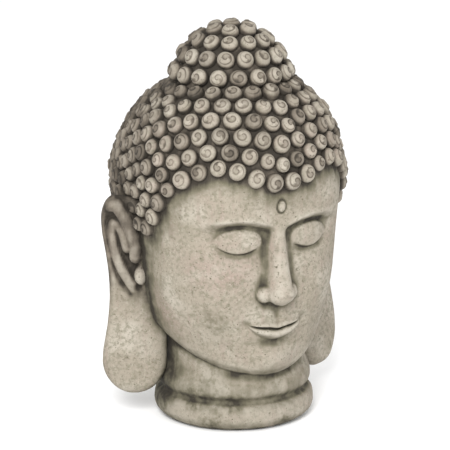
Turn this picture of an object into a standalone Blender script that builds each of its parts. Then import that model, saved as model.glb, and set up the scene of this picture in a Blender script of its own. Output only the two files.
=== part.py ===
# Garden statue: a Buddha head cast in one piece, standing on its own flat-cut neck.
# Origin: middle of the flat underside. +Z up, the face looks along -Y, +X is the figure's left.
# The head is a loft of meridians round a vertical axis. Carving is added to each meridian's radius.

import math

import bpy
import numpy as np

MM = 0.001

# Neck: two rounded folds, one above the other, over a flat underside
NECK_WIDTH = 200 * MM
NECK_DEPTH = 202 * MM
FOLD_CREASE_Z = 37 * MM
FOLD_CREASE_DEPTH = 6 * MM
UPPER_FOLD_INSET = 4 * MM
JAW_CREASE_Z = 66 * MM
BASE_EDGE_ROUND = 16 * MM

# Head: the skull under the hair, and the face that hangs from it
SKULL_WIDTH = 254 * MM
SKULL_FRONT = 126 * MM
SKULL_BACK = 190 * MM
SKULL_WIDEST_Z = 296 * MM
SKULL_TOP_Z = 431 * MM
CHIN_Z = 70 * MM
JAW_RISE = 74 * MM
CHIN_ROUND = 30 * MM
NAPE_ROUND = 60 * MM

# Topknot (ushnisha) over the skull
KNOT_WIDTH = 139 * MM
KNOT_TOP_Z = 485 * MM
KNOT_FOOT_Z = 411 * MM
KNOT_BACK = 7 * MM

# Hairline: its peak, the arches beside it, the temple, the lock before the ear, over the ear and the nape
HAIR_PEAK_Z = 305 * MM
HAIR_ARCH_Z = 325 * MM
HAIR_TEMPLE_Z = 284 * MM
HAIR_LOCK_Z = 240 * MM
HAIR_OVER_EAR_Z = 292 * MM
HAIR_NAPE_Z = 150 * MM

# Snail curls over the whole scalp
CURL_WIDTH = 25 * MM
CURL_SPACING = 24 * MM
CURL_HEIGHT = 13.5 * MM
SCALP_TRIALS = 3000
PACKING_STEPS = 60

# Face, on the sculptor's canon: chin to crown is seven half-units, and an eye is a fifth of the width
CANON_CROWN_Z = 420 * MM
UNIT = (CANON_CROWN_Z - CHIN_Z) / 3.5
NOSE_Z = CHIN_Z + UNIT
EYE_Z = CHIN_Z + 1.75 * UNIT
BROW_Z = CHIN_Z + 2 * UNIT
MOUTH_Z = NOSE_Z - UNIT / 3
EYE_WIDTH = SKULL_WIDTH / 5
URNA_Z = BROW_Z + 0.19 * UNIT
URNA_WIDTH = 10 * MM
URNA_HEIGHT = 14 * MM

# Ears: long pierced-ear shape, from the temple down to the neck's lower fold
EAR_TOP_Z = 285 * MM
EAR_LENGTH = 251 * MM
EAR_WIDTH = 70 * MM
EAR_THICKNESS = 20 * MM
EAR_TILT_OUT = math.radians(54)
LOBE_TILT_OUT = math.radians(64)
EAR_ROOT_X = 103 * MM
EAR_ROOT_Y = 8 * MM
LOBE_THICKNESS = 30 * MM
HELIX_THICKNESS = 12 * MM

# Lines carved on the ear, as shares of its width from the root and of its length from the top
EAR_RIM = ((0.74, 0.02), (0.93, 0.08), (0.93, 0.18), (0.81, 0.35), (0.75, 0.52))
EAR_ARM = ((0.82, 0.045), (0.66, 0.05), (0.47, 0.14), (0.37, 0.23), (0.37, 0.3))
EAR_INNER_RIM = ((0.5, 0.26), (0.61, 0.165), (0.74, 0.135), (0.78, 0.2), (0.65, 0.34), (0.38, 0.465))
EAR_GROOVE = ((0.68, 0.11), (0.84, 0.135), (0.81, 0.26), (0.68, 0.385), (0.46, 0.49))
EAR_HOLLOW = ((0.68, 0.2), (0.53, 0.31), (0.42, 0.42))

# Fineness of the carved surface before it is reduced to the final count of triangles
COLUMNS = 480
ROWS = 330
EAR_COLUMNS = 72
EAR_ROWS = 130
VOXEL = 1.7 * MM
FACE_TRIANGLES = 3100
HAIR_TRIANGLES = 6800


def smooth_max(a, b, blend):
    """The larger of a and b, with the corner between them rounded over about blend."""
    share = np.clip(0.5 + 0.5 * (a - b) / blend, 0, 1)
    return b + (a - b) * share + blend * share * (1 - share)


def ramp(low, high, value):
    """0 below low, 1 above high, and an eased climb in between."""
    t = np.clip((value - low) / (high - low), 0, 1)
    return t * t * (3 - 2 * t)


def bump(distance, width):
    return np.exp(-((distance / width) ** 2))


def through(knots, value):
    """A smooth curve through (position, size) knots."""
    at, size = np.array(knots).T
    slope = np.gradient(size, at)
    i = np.clip(np.searchsorted(at, value) - 1, 0, len(at) - 2)
    span = at[i + 1] - at[i]
    t = np.clip((value - at[i]) / span, 0, 1)
    return (
        size[i] * (1 + 2 * t) * (1 - t) ** 2
        + slope[i] * span * t * (1 - t) ** 2
        + size[i + 1] * t * t * (3 - 2 * t)
        - slope[i + 1] * span * t * t * (1 - t)
    )


def oval(angle, half_width, front, back, fullness=2.0):
    """Radius of an egg-shaped horizontal section; the angle is 0 at the face and pi at the nape."""
    depth = np.where(np.cos(angle) > 0, front, back)
    across = np.abs(np.sin(angle) / half_width) ** fullness
    along = np.abs(np.cos(angle) / depth) ** fullness
    return (across + along) ** (-1 / fullness)


def neck_radius(angle, z):
    """Two rounded folds with a crease between, and a rounded lower edge."""
    fold = oval(angle, NECK_WIDTH / 2, NECK_DEPTH / 2, NECK_DEPTH / 2)
    lower = 1 - ((z - 0.48 * FOLD_CREASE_Z) / FOLD_CREASE_Z) ** 2 * 0.14
    edge = np.clip((BASE_EDGE_ROUND - z) / BASE_EDGE_ROUND, 0, 1)
    lower = fold * lower - BASE_EDGE_ROUND * (1 - np.sqrt(1 - edge**2))
    middle = (FOLD_CREASE_Z + JAW_CREASE_Z) / 2
    reach = JAW_CREASE_Z - FOLD_CREASE_Z
    upper = (fold - UPPER_FOLD_INSET) * (1 - ((z - middle) / reach) ** 2 * 0.17)
    shaped = smooth_max(np.where(z < 1.3 * FOLD_CREASE_Z, lower, 0), upper, 1.5 * MM)
    crease = FOLD_CREASE_DEPTH * bump(z - FOLD_CREASE_Z, 4.5 * MM) * (1 - 0.7 * ramp(1.9, 2.6, np.abs(angle)))
    inside = (fold - 11 * MM) * (1 - ramp(JAW_CREASE_Z + 0.8 * JAW_RISE, JAW_CREASE_Z + JAW_RISE + NAPE_ROUND, z))
    return np.where(z < middle, shaped - crease, smooth_max(shaped, inside, 4 * MM))


def skull_radius(angle, z):
    """Cranium and face before any feature is carved."""
    half = SKULL_WIDTH / 2
    width = through(
        [
            (CHIN_Z - 0.2 * UNIT, 0.64 * half),
            (CHIN_Z + 0.1 * UNIT, 0.72 * half),
            (CHIN_Z + 0.4 * UNIT, 0.81 * half),
            (MOUTH_Z, 0.88 * half),
            (NOSE_Z, 0.93 * half),
            (EYE_Z - 0.3 * UNIT, 0.96 * half),
            (EYE_Z, 0.97 * half),
            (BROW_Z, 0.98 * half),
            (SKULL_WIDEST_Z, half),
            (SKULL_WIDEST_Z + 0.2 * UNIT, half),
        ],
        z,
    )
    front = through(
        [
            (CHIN_Z - 0.2 * UNIT, 0.76 * SKULL_FRONT),
            (CHIN_Z + 0.1 * UNIT, 0.81 * SKULL_FRONT),
            (CHIN_Z + 0.4 * UNIT, 0.835 * SKULL_FRONT),
            (MOUTH_Z, 0.86 * SKULL_FRONT),
            (NOSE_Z, 0.885 * SKULL_FRONT),
            (EYE_Z - 0.3 * UNIT, 0.91 * SKULL_FRONT),
            (EYE_Z, 0.93 * SKULL_FRONT),
            (BROW_Z, 0.97 * SKULL_FRONT),
            (SKULL_WIDEST_Z, 0.995 * SKULL_FRONT),
            (SKULL_WIDEST_Z + 0.2 * UNIT, SKULL_FRONT),
            (SKULL_WIDEST_Z + 0.4 * UNIT, SKULL_FRONT),
        ],
        z,
    )
    back = through(
        [
            (CHIN_Z - 0.2 * UNIT, 0.56 * SKULL_BACK),
            (MOUTH_Z, 0.68 * SKULL_BACK),
            (EYE_Z - 0.3 * UNIT, 0.9 * SKULL_BACK),
            (BROW_Z, 0.98 * SKULL_BACK),
            (SKULL_WIDEST_Z, SKULL_BACK),
            (SKULL_WIDEST_Z + 0.2 * UNIT, SKULL_BACK),
        ],
        z,
    )
    rise = np.clip((z - SKULL_WIDEST_Z) / (SKULL_TOP_Z - SKULL_WIDEST_Z), 0, 1)
    power = 2.35 - 0.4 * ramp(1.2, 2.8, np.abs(angle))
    dome = (1 - rise**power) ** (1 / power)
    fullness = 2 + 0.3 * ramp(CHIN_Z, EYE_Z, z) * (1 - ramp(BROW_Z, SKULL_WIDEST_Z + 0.6 * UNIT, z))
    section = oval(angle, width, front, back, fullness) * dome
    round_the_back = (1 - np.cos(angle)) / 2
    low = JAW_CREASE_Z - 0.42 * CHIN_ROUND + JAW_RISE * round_the_back
    edge = CHIN_ROUND + (NAPE_ROUND - CHIN_ROUND) * round_the_back
    under = np.clip((low + edge - z) / edge, 0, 1)
    return section * np.sqrt(1 - under**2)


def knot_profile(z):
    """Half-width of the topknot at a height: a dome drawn in a little at its foot."""
    rise = np.clip((z - KNOT_FOOT_Z) / (KNOT_TOP_Z - KNOT_FOOT_Z), 0, 1)
    dome = (1 - rise**1.95) ** (1 / 1.95)
    foot = 1 - 1.2 * np.clip((KNOT_FOOT_Z + 12 * MM - z) / (0.5 * KNOT_WIDTH), 0, 1) ** 2
    return KNOT_WIDTH / 2 * dome * foot


def knot_radius(angle, z):
    """Distance of the topknot's surface from the axis, which it is set a little behind."""
    round_it = knot_profile(z)
    behind = np.minimum(KNOT_BACK, 0.9 * round_it)
    inside = round_it**2 - (behind * np.sin(angle)) ** 2
    return np.sqrt(np.clip(inside, 0, None)) - behind * np.cos(angle)


def ellipse(x, z, centre_x, centre_z, half_x, half_z):
    """0 at the centre of an upright ellipse and 1 on its edge."""
    return np.sqrt(((x - centre_x) / half_x) ** 2 + ((z - centre_z) / half_z) ** 2)


def cap(reach, height):
    """Height of a half-ellipsoid over its base, and a steep fall outside it."""
    return height * (np.sqrt(np.clip(1 - reach**2, 0, 1)) - 4 * np.clip(reach - 1, 0, 1))


def lid_line(side):
    """Height of the closed lid's edge across one eye; side is the distance from the face's middle."""
    across = np.clip((side - EYE_WIDTH) / (0.53 * EYE_WIDTH), -1, 1)
    return EYE_Z - 0.035 * UNIT - 0.095 * UNIT * (1 - across**2) + 0.015 * UNIT * across


def brow_line(side):
    """Height of the arched brow: its crown is over the outer half of the eye."""
    reach = (side - 0.52 * UNIT) / (0.42 * UNIT)
    return BROW_Z + 0.03 * UNIT - 0.085 * UNIT * reach**2 * (1 - 0.15 * reach)


def eyes(side, z, surface):
    """Sockets under arched brows, and full closed lids that look down."""
    below_brow = brow_line(side) - z
    depth = ramp(-0.02 * UNIT, 0.11 * UNIT, below_brow) * (1 - 0.4 * ramp(0.1 * UNIT, 0.35 * UNIT, below_brow))
    depth = depth * (1 - ramp(0.3 * UNIT, 0.62 * UNIT, below_brow)) * (1 - ramp(0.66 * UNIT, 0.98 * UNIT, side))
    socket = 0.1 * UNIT * depth * ramp(0.02 * UNIT, 0.15 * UNIT, side)
    ridge = 0.012 * UNIT * bump(below_brow + 0.015 * UNIT, 0.04 * UNIT)
    socket = socket - ridge * (1 - ramp(0.6 * UNIT, 0.9 * UNIT, side)) * ramp(0.05 * UNIT, 0.2 * UNIT, side)
    lid_reach = ellipse(side, z, 0.98 * EYE_WIDTH, EYE_Z - 0.015 * UNIT, 0.66 * EYE_WIDTH, 0.21 * UNIT)
    lid = surface - 0.105 * UNIT + cap(lid_reach, 0.095 * UNIT)
    carved = smooth_max(surface - socket, lid, 2 * MM)
    across = np.clip(np.abs(side - EYE_WIDTH) / (0.53 * EYE_WIDTH), 0, 1)
    inside = 1 - across**4
    below = lid_line(side) - z
    carved = carved - 2.6 * MM * inside * ramp(0, 1.6 * MM, below) * (1 - ramp(3 * MM, 13 * MM, below))
    carved = carved - 0.9 * MM * bump(lid_reach - 0.93, 0.035) * ramp(0, 4 * MM, -below)
    return carved - 2 * MM * inside * bump(below - 0.8 * MM, 1.2 * MM)


def nose(x, z, surface):
    """A straight ridge from the brow to a round tip, with two wings."""
    side = np.abs(x)
    top_z, tip_z = BROW_Z - 0.06 * UNIT, NOSE_Z + 0.11 * UNIT
    top, tip = 0.955 * SKULL_FRONT, SKULL_FRONT + 0.13 * UNIT
    down = (top_z - z) / (top_z - tip_z)
    ridge = top + (tip - top) * np.clip(down, 0, 1) ** 1.1
    ridge = ridge - 3 * np.clip(tip_z - z, 0, 1) - 0.6 * np.clip(z - top_z, 0, 1)
    flat = (0.035 + 0.035 * np.clip(down, 0, 1)) * UNIT
    ridge = ridge - (1.15 + 0.65 * np.clip(down, 0, 1)) * smooth_max(side - flat, 0, 4 * MM)
    carved = smooth_max(surface, ridge, 8 * MM)
    ball = tip - 0.145 * UNIT + cap(ellipse(x, z, 0, tip_z - 0.005 * UNIT, 0.145 * UNIT, 0.135 * UNIT), 0.15 * UNIT)
    carved = smooth_max(carved, ball, 6 * MM)
    wing_reach = ellipse(side, z, 0.14 * UNIT, tip_z - 0.005 * UNIT, 0.13 * UNIT, 0.125 * UNIT)
    wing = tip - 0.27 * UNIT + cap(wing_reach, 0.14 * UNIT)
    carved = smooth_max(carved, wing, 5 * MM)
    nostril = ellipse(side, z, 0.105 * UNIT, NOSE_Z - 0.005 * UNIT, 0.06 * UNIT, 0.03 * UNIT)
    return carved - 0.05 * UNIT * bump(nostril, 1)


def mouth(x, z, surface):
    """Full lips in a faint smile, set on the round of the jaw."""
    side = np.abs(x)
    half = 0.36 * UNIT
    out = np.clip(side / half, 0, 1)
    line = MOUTH_Z - 0.016 * UNIT * bump(x, 0.07 * UNIT) + 0.05 * UNIT * out**2.2
    taper = np.sqrt(np.clip(1 - out**2, 0, 1))
    upper = 0.115 * UNIT * (1 - out**1.8) - 0.02 * UNIT * bump(x, 0.045 * UNIT) + 0.2 * MM
    lower = 0.15 * UNIT * (1 - out**2.6) + 0.2 * MM
    above = (z - line) / upper
    under = (line - z) / lower
    upper_lip = np.clip(1 - (2 * above - 0.7) ** 2, 0, 1) ** 1.4 * 0.056 * UNIT * taper
    lower_lip = np.clip(1 - (1.75 * under - 0.75) ** 2, 0, 1) ** 1.3 * 0.072 * UNIT * taper
    lips = np.where(above > 0, upper_lip, lower_lip) * (out < 1)
    carved = surface + smooth_max(lips, 0, 1.2 * MM)
    carved = carved - 0.03 * UNIT * bump(z - line, 1.4 * MM) * (1 - out**6)
    corner = ellipse(side, z, 1.03 * half, MOUTH_Z + 0.05 * UNIT, 0.07 * UNIT, 0.06 * UNIT)
    return carved - 0.024 * UNIT * bump(corner, 1)


def soft_forms(x, z):
    """The round of the jaw, chin, cheeks and upper lip, as heights over the plain face."""
    side = np.abs(x)
    forms = 0.05 * UNIT * bump(ellipse(x, z, 0, MOUTH_Z + 0.02 * UNIT, 0.36 * UNIT, 0.27 * UNIT), 1)
    forms += 0.085 * UNIT * bump(ellipse(x, z, 0, CHIN_Z + 0.24 * UNIT, 0.24 * UNIT, 0.18 * UNIT), 1)
    forms -= 0.035 * UNIT * bump(ellipse(x, z, 0, MOUTH_Z - 0.21 * UNIT, 0.24 * UNIT, 0.07 * UNIT), 1)
    forms += 0.05 * UNIT * bump(ellipse(side, z, 0.62 * UNIT, NOSE_Z + 0.1 * UNIT, 0.3 * UNIT, 0.4 * UNIT), 1)
    groove = ramp(MOUTH_Z + 0.07 * UNIT, MOUTH_Z + 0.14 * UNIT, z) * (1 - ramp(NOSE_Z - 0.04 * UNIT, NOSE_Z, z))
    forms -= 0.024 * UNIT * bump(x, 0.042 * UNIT) * groove
    return forms


def urna(x, z, surface):
    """The oval bead on the forehead, in a fine ring."""
    reach = ellipse(x, z, 0, URNA_Z, URNA_WIDTH / 2, URNA_HEIGHT / 2)
    ringed = surface - 1.2 * MM * bump(reach - 1.25, 0.28)
    return smooth_max(ringed, surface - 1 * MM + cap(reach, 4 * MM), 0.4 * MM)


def head_radius(angle, z):
    """Distance of the bare surface from the vertical axis, with every feature of the face."""
    skull = skull_radius(angle, z)
    x = skull * np.sin(angle)
    facing = ramp(0.05, 0.35, np.cos(angle)) * (skull > 0.5 * SKULL_FRONT)
    face = skull + soft_forms(x, z)
    face = eyes(np.abs(x), z, face)
    face = mouth(x, z, face)
    face = nose(x, z, face)
    face = urna(x, z, face)
    skull = skull + (face - skull) * facing
    behind_ears = ramp(1.2, 2.2, np.abs(angle))
    solid = smooth_max(skull, neck_radius(angle, z), 2 * MM + 24 * MM * behind_ears)
    return smooth_max(solid, knot_radius(angle, z), 3 * MM)


def column_angles(count):
    """Angles round the head, twice as close together over the face as at the back."""
    fine = np.linspace(-math.pi, math.pi, 4001)
    share = 1 + ramp(0.1, 0.75, np.cos(fine))
    travelled = np.concatenate([[0], np.cumsum((share[1:] + share[:-1]) / 2)])
    return np.interp(np.arange(count) / count, travelled / travelled[-1], fine)


def meridians(columns, rows, floor):
    """Points of the bare head, (rows, columns, 3), each column spread evenly along its own profile."""
    climb = np.linspace(0, 1, 1400)
    z = floor + (KNOT_TOP_Z - 1e-6 - floor) * (1 - (1 - climb) ** 1.6)
    angles = column_angles(columns)
    radius = head_radius(angles[None, :], z[:, None])
    step = np.hypot(np.diff(radius, axis=0), np.diff(z)[:, None])
    middle = (z[1:] + z[:-1]) / 2
    on_face = ramp(CHIN_Z - 0.1 * UNIT, CHIN_Z + 0.1 * UNIT, middle) * (1 - ramp(1, 1.1, middle / SKULL_WIDEST_Z))
    step = step * (1 + 0.5 * on_face[:, None])
    travelled = np.concatenate([np.zeros((1, columns)), np.cumsum(step, axis=0)])
    wanted = np.arange(rows) / rows
    points = np.empty((rows, columns, 3))
    for j, angle in enumerate(angles):
        height = np.interp(wanted * travelled[-1, j], travelled[:, j], z)
        reach = np.interp(height, z, radius[:, j])
        points[:, j] = np.stack([reach * math.sin(angle), -reach * math.cos(angle), height], axis=1)
    return points


def hairline_z(angle):
    """Lowest edge of the hair round the head: a peak in front, down before the ear, and low at the nape."""
    degrees = np.abs(np.degrees(angle))

    def part_way(low, high, share):
        return low + share * (high - low)

    return through(
        [
            (-1, HAIR_PEAK_Z),
            (10, part_way(HAIR_PEAK_Z, HAIR_ARCH_Z, 0.2)),
            (24, part_way(HAIR_PEAK_Z, HAIR_ARCH_Z, 0.8)),
            (38, HAIR_ARCH_Z),
            (52, part_way(HAIR_ARCH_Z, HAIR_TEMPLE_Z, 0.3)),
            (60, part_way(HAIR_ARCH_Z, HAIR_TEMPLE_Z, 0.55)),
            (68, HAIR_TEMPLE_Z),
            (80, part_way(HAIR_TEMPLE_Z, HAIR_LOCK_Z, 0.87)),
            (91, HAIR_LOCK_Z),
            (99, part_way(HAIR_LOCK_Z, HAIR_OVER_EAR_Z, 0.6)),
            (108, HAIR_OVER_EAR_Z),
            (118, part_way(HAIR_OVER_EAR_Z, HAIR_NAPE_Z, 0.21)),
            (130, part_way(HAIR_OVER_EAR_Z, HAIR_NAPE_Z, 0.65)),
            (145, part_way(HAIR_OVER_EAR_Z, HAIR_NAPE_Z, 0.93)),
            (181, HAIR_NAPE_Z),
        ],
        degrees,
    )


HAIR_CENTRE = np.array([0, 0.1 * SKULL_BACK, SKULL_WIDEST_Z])


def on_scalp(points):
    """The points moved along rays from the middle of the skull until they lie on its bare surface."""
    ray = points - HAIR_CENTRE
    ray = ray / np.linalg.norm(ray, axis=1, keepdims=True)
    near, far = np.full(len(ray), 0.02), np.full(len(ray), 0.4)
    for _ in range(18):
        middle = (near + far) / 2
        at = HAIR_CENTRE + ray * middle[:, None]
        angle = np.arctan2(at[:, 0], -at[:, 1])
        height = np.clip(at[:, 2], 0, KNOT_TOP_Z)
        inside = (np.hypot(at[:, 0], at[:, 1]) < head_radius(angle, height)) & (at[:, 2] < KNOT_TOP_Z)
        near, far = np.where(inside, middle, near), np.where(inside, far, middle)
    return HAIR_CENTRE + ray * near[:, None]


def knot_curls():
    """Rings of curls over the topknot, from the one on its top down, and one in the crease round its foot."""
    z = KNOT_TOP_Z - (KNOT_TOP_Z - KNOT_FOOT_Z - 0.9 * CURL_SPACING) * np.linspace(0, 1, 400) ** 2
    reach = knot_profile(z)
    along = np.concatenate([[0], np.cumsum(np.hypot(np.diff(reach), np.diff(z)))])
    count = round(along[-1] / (0.94 * CURL_SPACING))
    wanted = np.arange(count + 1) * along[-1] / count
    radii = np.append(np.interp(wanted, along, reach), KNOT_WIDTH / 2 + 0.25 * CURL_SPACING)
    heights = np.append(np.interp(wanted, along, z), KNOT_FOOT_Z)
    rings = []
    for ring, (radius, height) in enumerate(zip(radii, heights)):
        number = max(1, round(2 * math.pi * radius / (0.94 * CURL_SPACING)))
        turn = (np.arange(number) + 0.5 * (ring % 2)) * 2 * math.pi / number
        x, y = radius * np.sin(turn), KNOT_BACK - radius * np.cos(turn)
        rings.append(np.stack([x, y, np.full(number, height)], axis=1))
    return np.concatenate(rings)


def hairline_curls():
    """An even row of curls just over the hairline, all the way round."""
    turn = np.linspace(-math.pi, math.pi, 3000)
    height = hairline_z(turn) + 0.5 * CURL_WIDTH
    reach = head_radius(turn, height)
    line = np.stack([reach * np.sin(turn), -reach * np.cos(turn), height], axis=1)
    along = np.concatenate([[0], np.cumsum(np.linalg.norm(np.diff(line, axis=0), axis=1))])
    number = round(along[-1] / (0.96 * CURL_SPACING))
    wanted = (np.arange(number) + 0.5) * along[-1] / number
    return np.stack([np.interp(wanted, along, line[:, i]) for i in range(3)], axis=1)


def spread_out(free, fixed, steps):
    """Pushes free points apart over the scalp, less and less, until they pack evenly among the fixed ones."""
    for step in range(steps):
        everyone = np.concatenate([free, fixed])
        gap = free[:, None] - everyone[None]
        distance = np.linalg.norm(gap, axis=2) + 1e-9
        push = np.clip(1 - distance / (1.15 * CURL_SPACING), 0, 1)
        push[np.arange(len(free)), np.arange(len(free))] = 0
        reach = (0.3 - 0.21 * step / steps) * CURL_SPACING
        free = on_scalp(free + reach * (gap / distance[..., None] * push[..., None]).sum(axis=1))
    return free


def curl_centres():
    """Feet of all the curls: fixed rows on the knot and along the hairline, and an even packing between."""
    fixed = np.concatenate([on_scalp(knot_curls()), on_scalp(hairline_curls())])
    i = np.arange(SCALP_TRIALS) + 0.5
    turn = i * math.pi * (1 + 5**0.5)
    up = 1 - 2 * i / SCALP_TRIALS
    level = np.sqrt(1 - up**2)
    scalp = on_scalp(np.stack([level * np.sin(turn), level * np.cos(turn), up], axis=1) + HAIR_CENTRE)
    scalp = scalp[scalp[:, 2] > hairline_z(np.arctan2(scalp[:, 0], -scalp[:, 1])) + 0.8 * CURL_WIDTH]
    free = np.empty((0, 3))
    for _ in range(2):
        room = np.linalg.norm(scalp[:, None] - np.concatenate([free, fixed])[None], axis=2).min(axis=1)
        while room.max() > 0.64 * CURL_SPACING:
            widest = scalp[room.argmax()]
            free = np.concatenate([free, [widest]])
            room = np.minimum(room, np.linalg.norm(scalp - widest, axis=1))
        free = spread_out(free, fixed, PACKING_STEPS)
    return np.concatenate([free, fixed])


def grid_normals(points):
    """Outward unit normals of a grid of points that closes round its columns."""
    up = np.gradient(points, axis=0)
    round_it = np.roll(points, -1, axis=1) - np.roll(points, 1, axis=1)
    normal = np.cross(round_it, up)
    return normal / (np.linalg.norm(normal, axis=2, keepdims=True) + 1e-12)


def curl_radii(centres):
    """Half-width of each curl, less where its neighbours crowd it."""
    apart = np.linalg.norm(centres[:, None] - centres[None], axis=2) + 1.0 * np.eye(len(centres))
    return np.minimum(CURL_WIDTH / 2, 0.53 * apart.min(axis=1))


def raise_curls(points, centres):
    """Pushes the scalp out into one dome over each curl's foot."""
    flat = points.reshape(-1, 3)
    normal = grid_normals(points).reshape(-1, 3)
    radii = curl_radii(centres)
    hair = np.nonzero(flat[:, 2] > hairline_z(np.arctan2(flat[:, 0], -flat[:, 1])) - 4 * MM)[0]
    for part in np.array_split(hair, 24):
        reach = np.linalg.norm(flat[part][:, None] - centres[None], axis=2) / radii
        nearest = reach.argmin(axis=1)
        dome = np.sqrt(np.clip(1 - reach.min(axis=1) ** 2.6, 0, 1))
        height = CURL_HEIGHT * radii[nearest] / (CURL_WIDTH / 2)
        flat[part] += normal[part] * (height * dome)[:, None]
    return flat.reshape(points.shape)


def stone_material():
    material = bpy.data.materials.new("weathered_cast_stone")
    material.use_nodes = True
    shader = material.node_tree.nodes["Principled BSDF"]
    shader.inputs["Base Color"].default_value = (0.42, 0.40, 0.33, 1)
    shader.inputs["Roughness"].default_value = 0.85
    shader.inputs["Metallic"].default_value = 0
    return material


def away_from(line, across, z):
    """Distance from each point of the ear's face to a smooth curve through the knots of a carved line."""
    knots = np.array(line)
    at = np.arange(len(knots))
    wanted = np.linspace(0, len(knots) - 1, 60)
    curve_across = EAR_WIDTH * through(list(zip(at, knots[:, 0])), wanted)
    curve_z = EAR_TOP_Z - EAR_LENGTH * through(list(zip(at, knots[:, 1])), wanted)
    return np.hypot(across[..., None] - curve_across, z[..., None] - curve_z).min(axis=-1)


def roll(distance, half_width, height, foot):
    """A round moulding that stands on the level foot and slopes away outside its width."""
    round_top = height * np.sqrt(np.clip(1 - (distance / half_width) ** 2, 0, 1))
    return foot + round_top - 1.8 * np.clip(distance - half_width, 0, None)


def ear_face(across, z):
    """Carving on the front of the ear: rim, inner rim, hollows, the bead before the canal, and a full lobe."""
    share = (EAR_TOP_Z - z) / EAR_LENGTH
    lobe = ramp(0.42, 0.8, share)
    face = 7 * MM + 6 * MM * lobe
    face = face - 13 * MM * bump(away_from(EAR_HOLLOW, across, z), 11 * MM)
    ending = ramp(0.36, 0.48, share)
    face = face - (5 - 2 * ending) * MM * bump(away_from(EAR_GROOVE, across, z), 4.2 * MM)
    rim = bump(away_from(EAR_RIM, across, z), 6 * MM)
    face = np.maximum(face, 4 * MM * rim) + 8 * MM * rim * (1 - ramp(0.36, 0.52, share))
    inner = roll(away_from(EAR_INNER_RIM, across, z), 5.5 * MM, (7.5 - 4 * ending) * MM, 5 * MM)
    arm = roll(away_from(EAR_ARM, across, z), (9 - 2.8 * ramp(0.08, 0.28, share)) * MM, HELIX_THICKNESS, 6 * MM)
    face = smooth_max(smooth_max(face, inner, 3 * MM), arm, 2 * MM)
    bead = ellipse(across, share, 0.26 * EAR_WIDTH, 0.395, 0.12 * EAR_WIDTH, 0.05)
    face = smooth_max(face, 5 * MM + cap(bead, 10 * MM), 1.4 * MM)
    pit = ellipse(across, share, 0.31 * EAR_WIDTH, 0.457, 0.05 * EAR_WIDTH, 0.014)
    return face - 6 * MM * bump(pit, 1)


def ear_edges(z):
    """(inner edge, outer edge) of the ear at a height, measured across it from its root in the head."""
    share = (EAR_TOP_Z - z) / EAR_LENGTH
    outer = through([(0, 0.97), (0.17, 0.97), (0.27, 0.92), (0.38, 0.86), (0.5, 0.83), (0.62, 0.86), (0.8, 0.96), (1.01, 0.96)], share)
    inner = through([(0, -0.1), (0.5, -0.12), (0.68, -0.18), (0.8, -0.18), (1.01, -0.16)], share)
    top = np.sqrt(np.clip(1 - np.clip(1 - share / 0.12, 0, 1) ** 2, 0, 1))
    end = np.sqrt(np.clip(1 - np.clip(1 - (1 - share) / 0.175, 0, 1) ** 2, 0, 1))
    middle = np.where(share < 0.5, 0.73, 0.4)
    return tuple(EAR_WIDTH * (middle + (edge - middle) * top * end) for edge in (inner, outer))


def ear_points(rows, around):
    """Rings of points round the ear's sections, from the lobe's end up: across, outward and height."""
    share = (1 + np.cos(np.linspace(0.03, 0.985, rows) * math.pi))[:, None] / 2
    z = EAR_TOP_Z - EAR_LENGTH * share
    inner, outer = ear_edges(z)
    turn = np.arange(around) * 2 * math.pi / around
    run = np.cos(turn)
    across = (inner + outer) / 2 + (outer - inner) / 2 * run
    to_end, to_top = np.clip((1 - share) / 0.06, 0, 1), np.clip(share / 0.04, 0, 1)
    rounding = np.sqrt((1 - run**4) * to_end * (2 - to_end) * to_top * (2 - to_top))
    front = ear_face(across, z + 0 * across)
    back = -(EAR_THICKNESS + (LOBE_THICKNESS - EAR_THICKNESS) * ramp(0.5, 0.8, share)) / 2
    out = np.where(np.sin(turn) > 0, front, back) * rounding
    return np.stack([across, -out, z + 0 * across], axis=2)


def ear_grid(side):
    """Grid of one ear beside the head, its lobe flared more than its top. side is -1 for the figure's right."""
    across, ahead, z = np.moveaxis(ear_points(EAR_ROWS, EAR_COLUMNS), 2, 0)
    lower = ramp(0.3, 0.7, (EAR_TOP_Z - z) / EAR_LENGTH)
    tilt = EAR_TILT_OUT + (LOBE_TILT_OUT - EAR_TILT_OUT) * lower
    x = EAR_ROOT_X + across * np.sin(tilt) - ahead * np.cos(tilt)
    y = EAR_ROOT_Y + across * np.cos(tilt) + ahead * np.sin(tilt)
    points = np.stack([side * x, y, z], axis=2)
    return points if side > 0 else points[:, ::-1]


def closed_grid(points, apex, first):
    """(points, faces) of a closed shell: rings of a grid, an apex over the last and a flat cap under the first."""
    rows, columns = points.shape[:2]
    corner = first + np.arange(rows * columns).reshape(rows, columns)
    here, beside = corner, np.roll(corner, -1, axis=1)
    walls = np.stack([here[:-1], beside[:-1], beside[1:], here[1:]], axis=2).reshape(-1, 4)
    top = first + rows * columns
    roof = [(int(a), int(b), top) for a, b in zip(here[-1], beside[-1])]
    return points.reshape(-1, 3).tolist() + [list(apex)], walls.tolist() + roof + [corner[0][::-1].tolist()]


def shells_mesh(name, shells):
    """One mesh that holds several closed shells, each given as (grid, apex)."""
    vertices, faces = [], []
    for grid, apex in shells:
        more, sides = closed_grid(grid, apex, len(vertices))
        vertices += more
        faces += sides
    mesh = bpy.data.meshes.new(name)
    mesh.from_pydata(vertices, [], faces)
    return mesh


def apply_modifier(obj, name):
    bpy.context.view_layer.objects.active = obj
    bpy.ops.object.modifier_apply(modifier=name)


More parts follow.
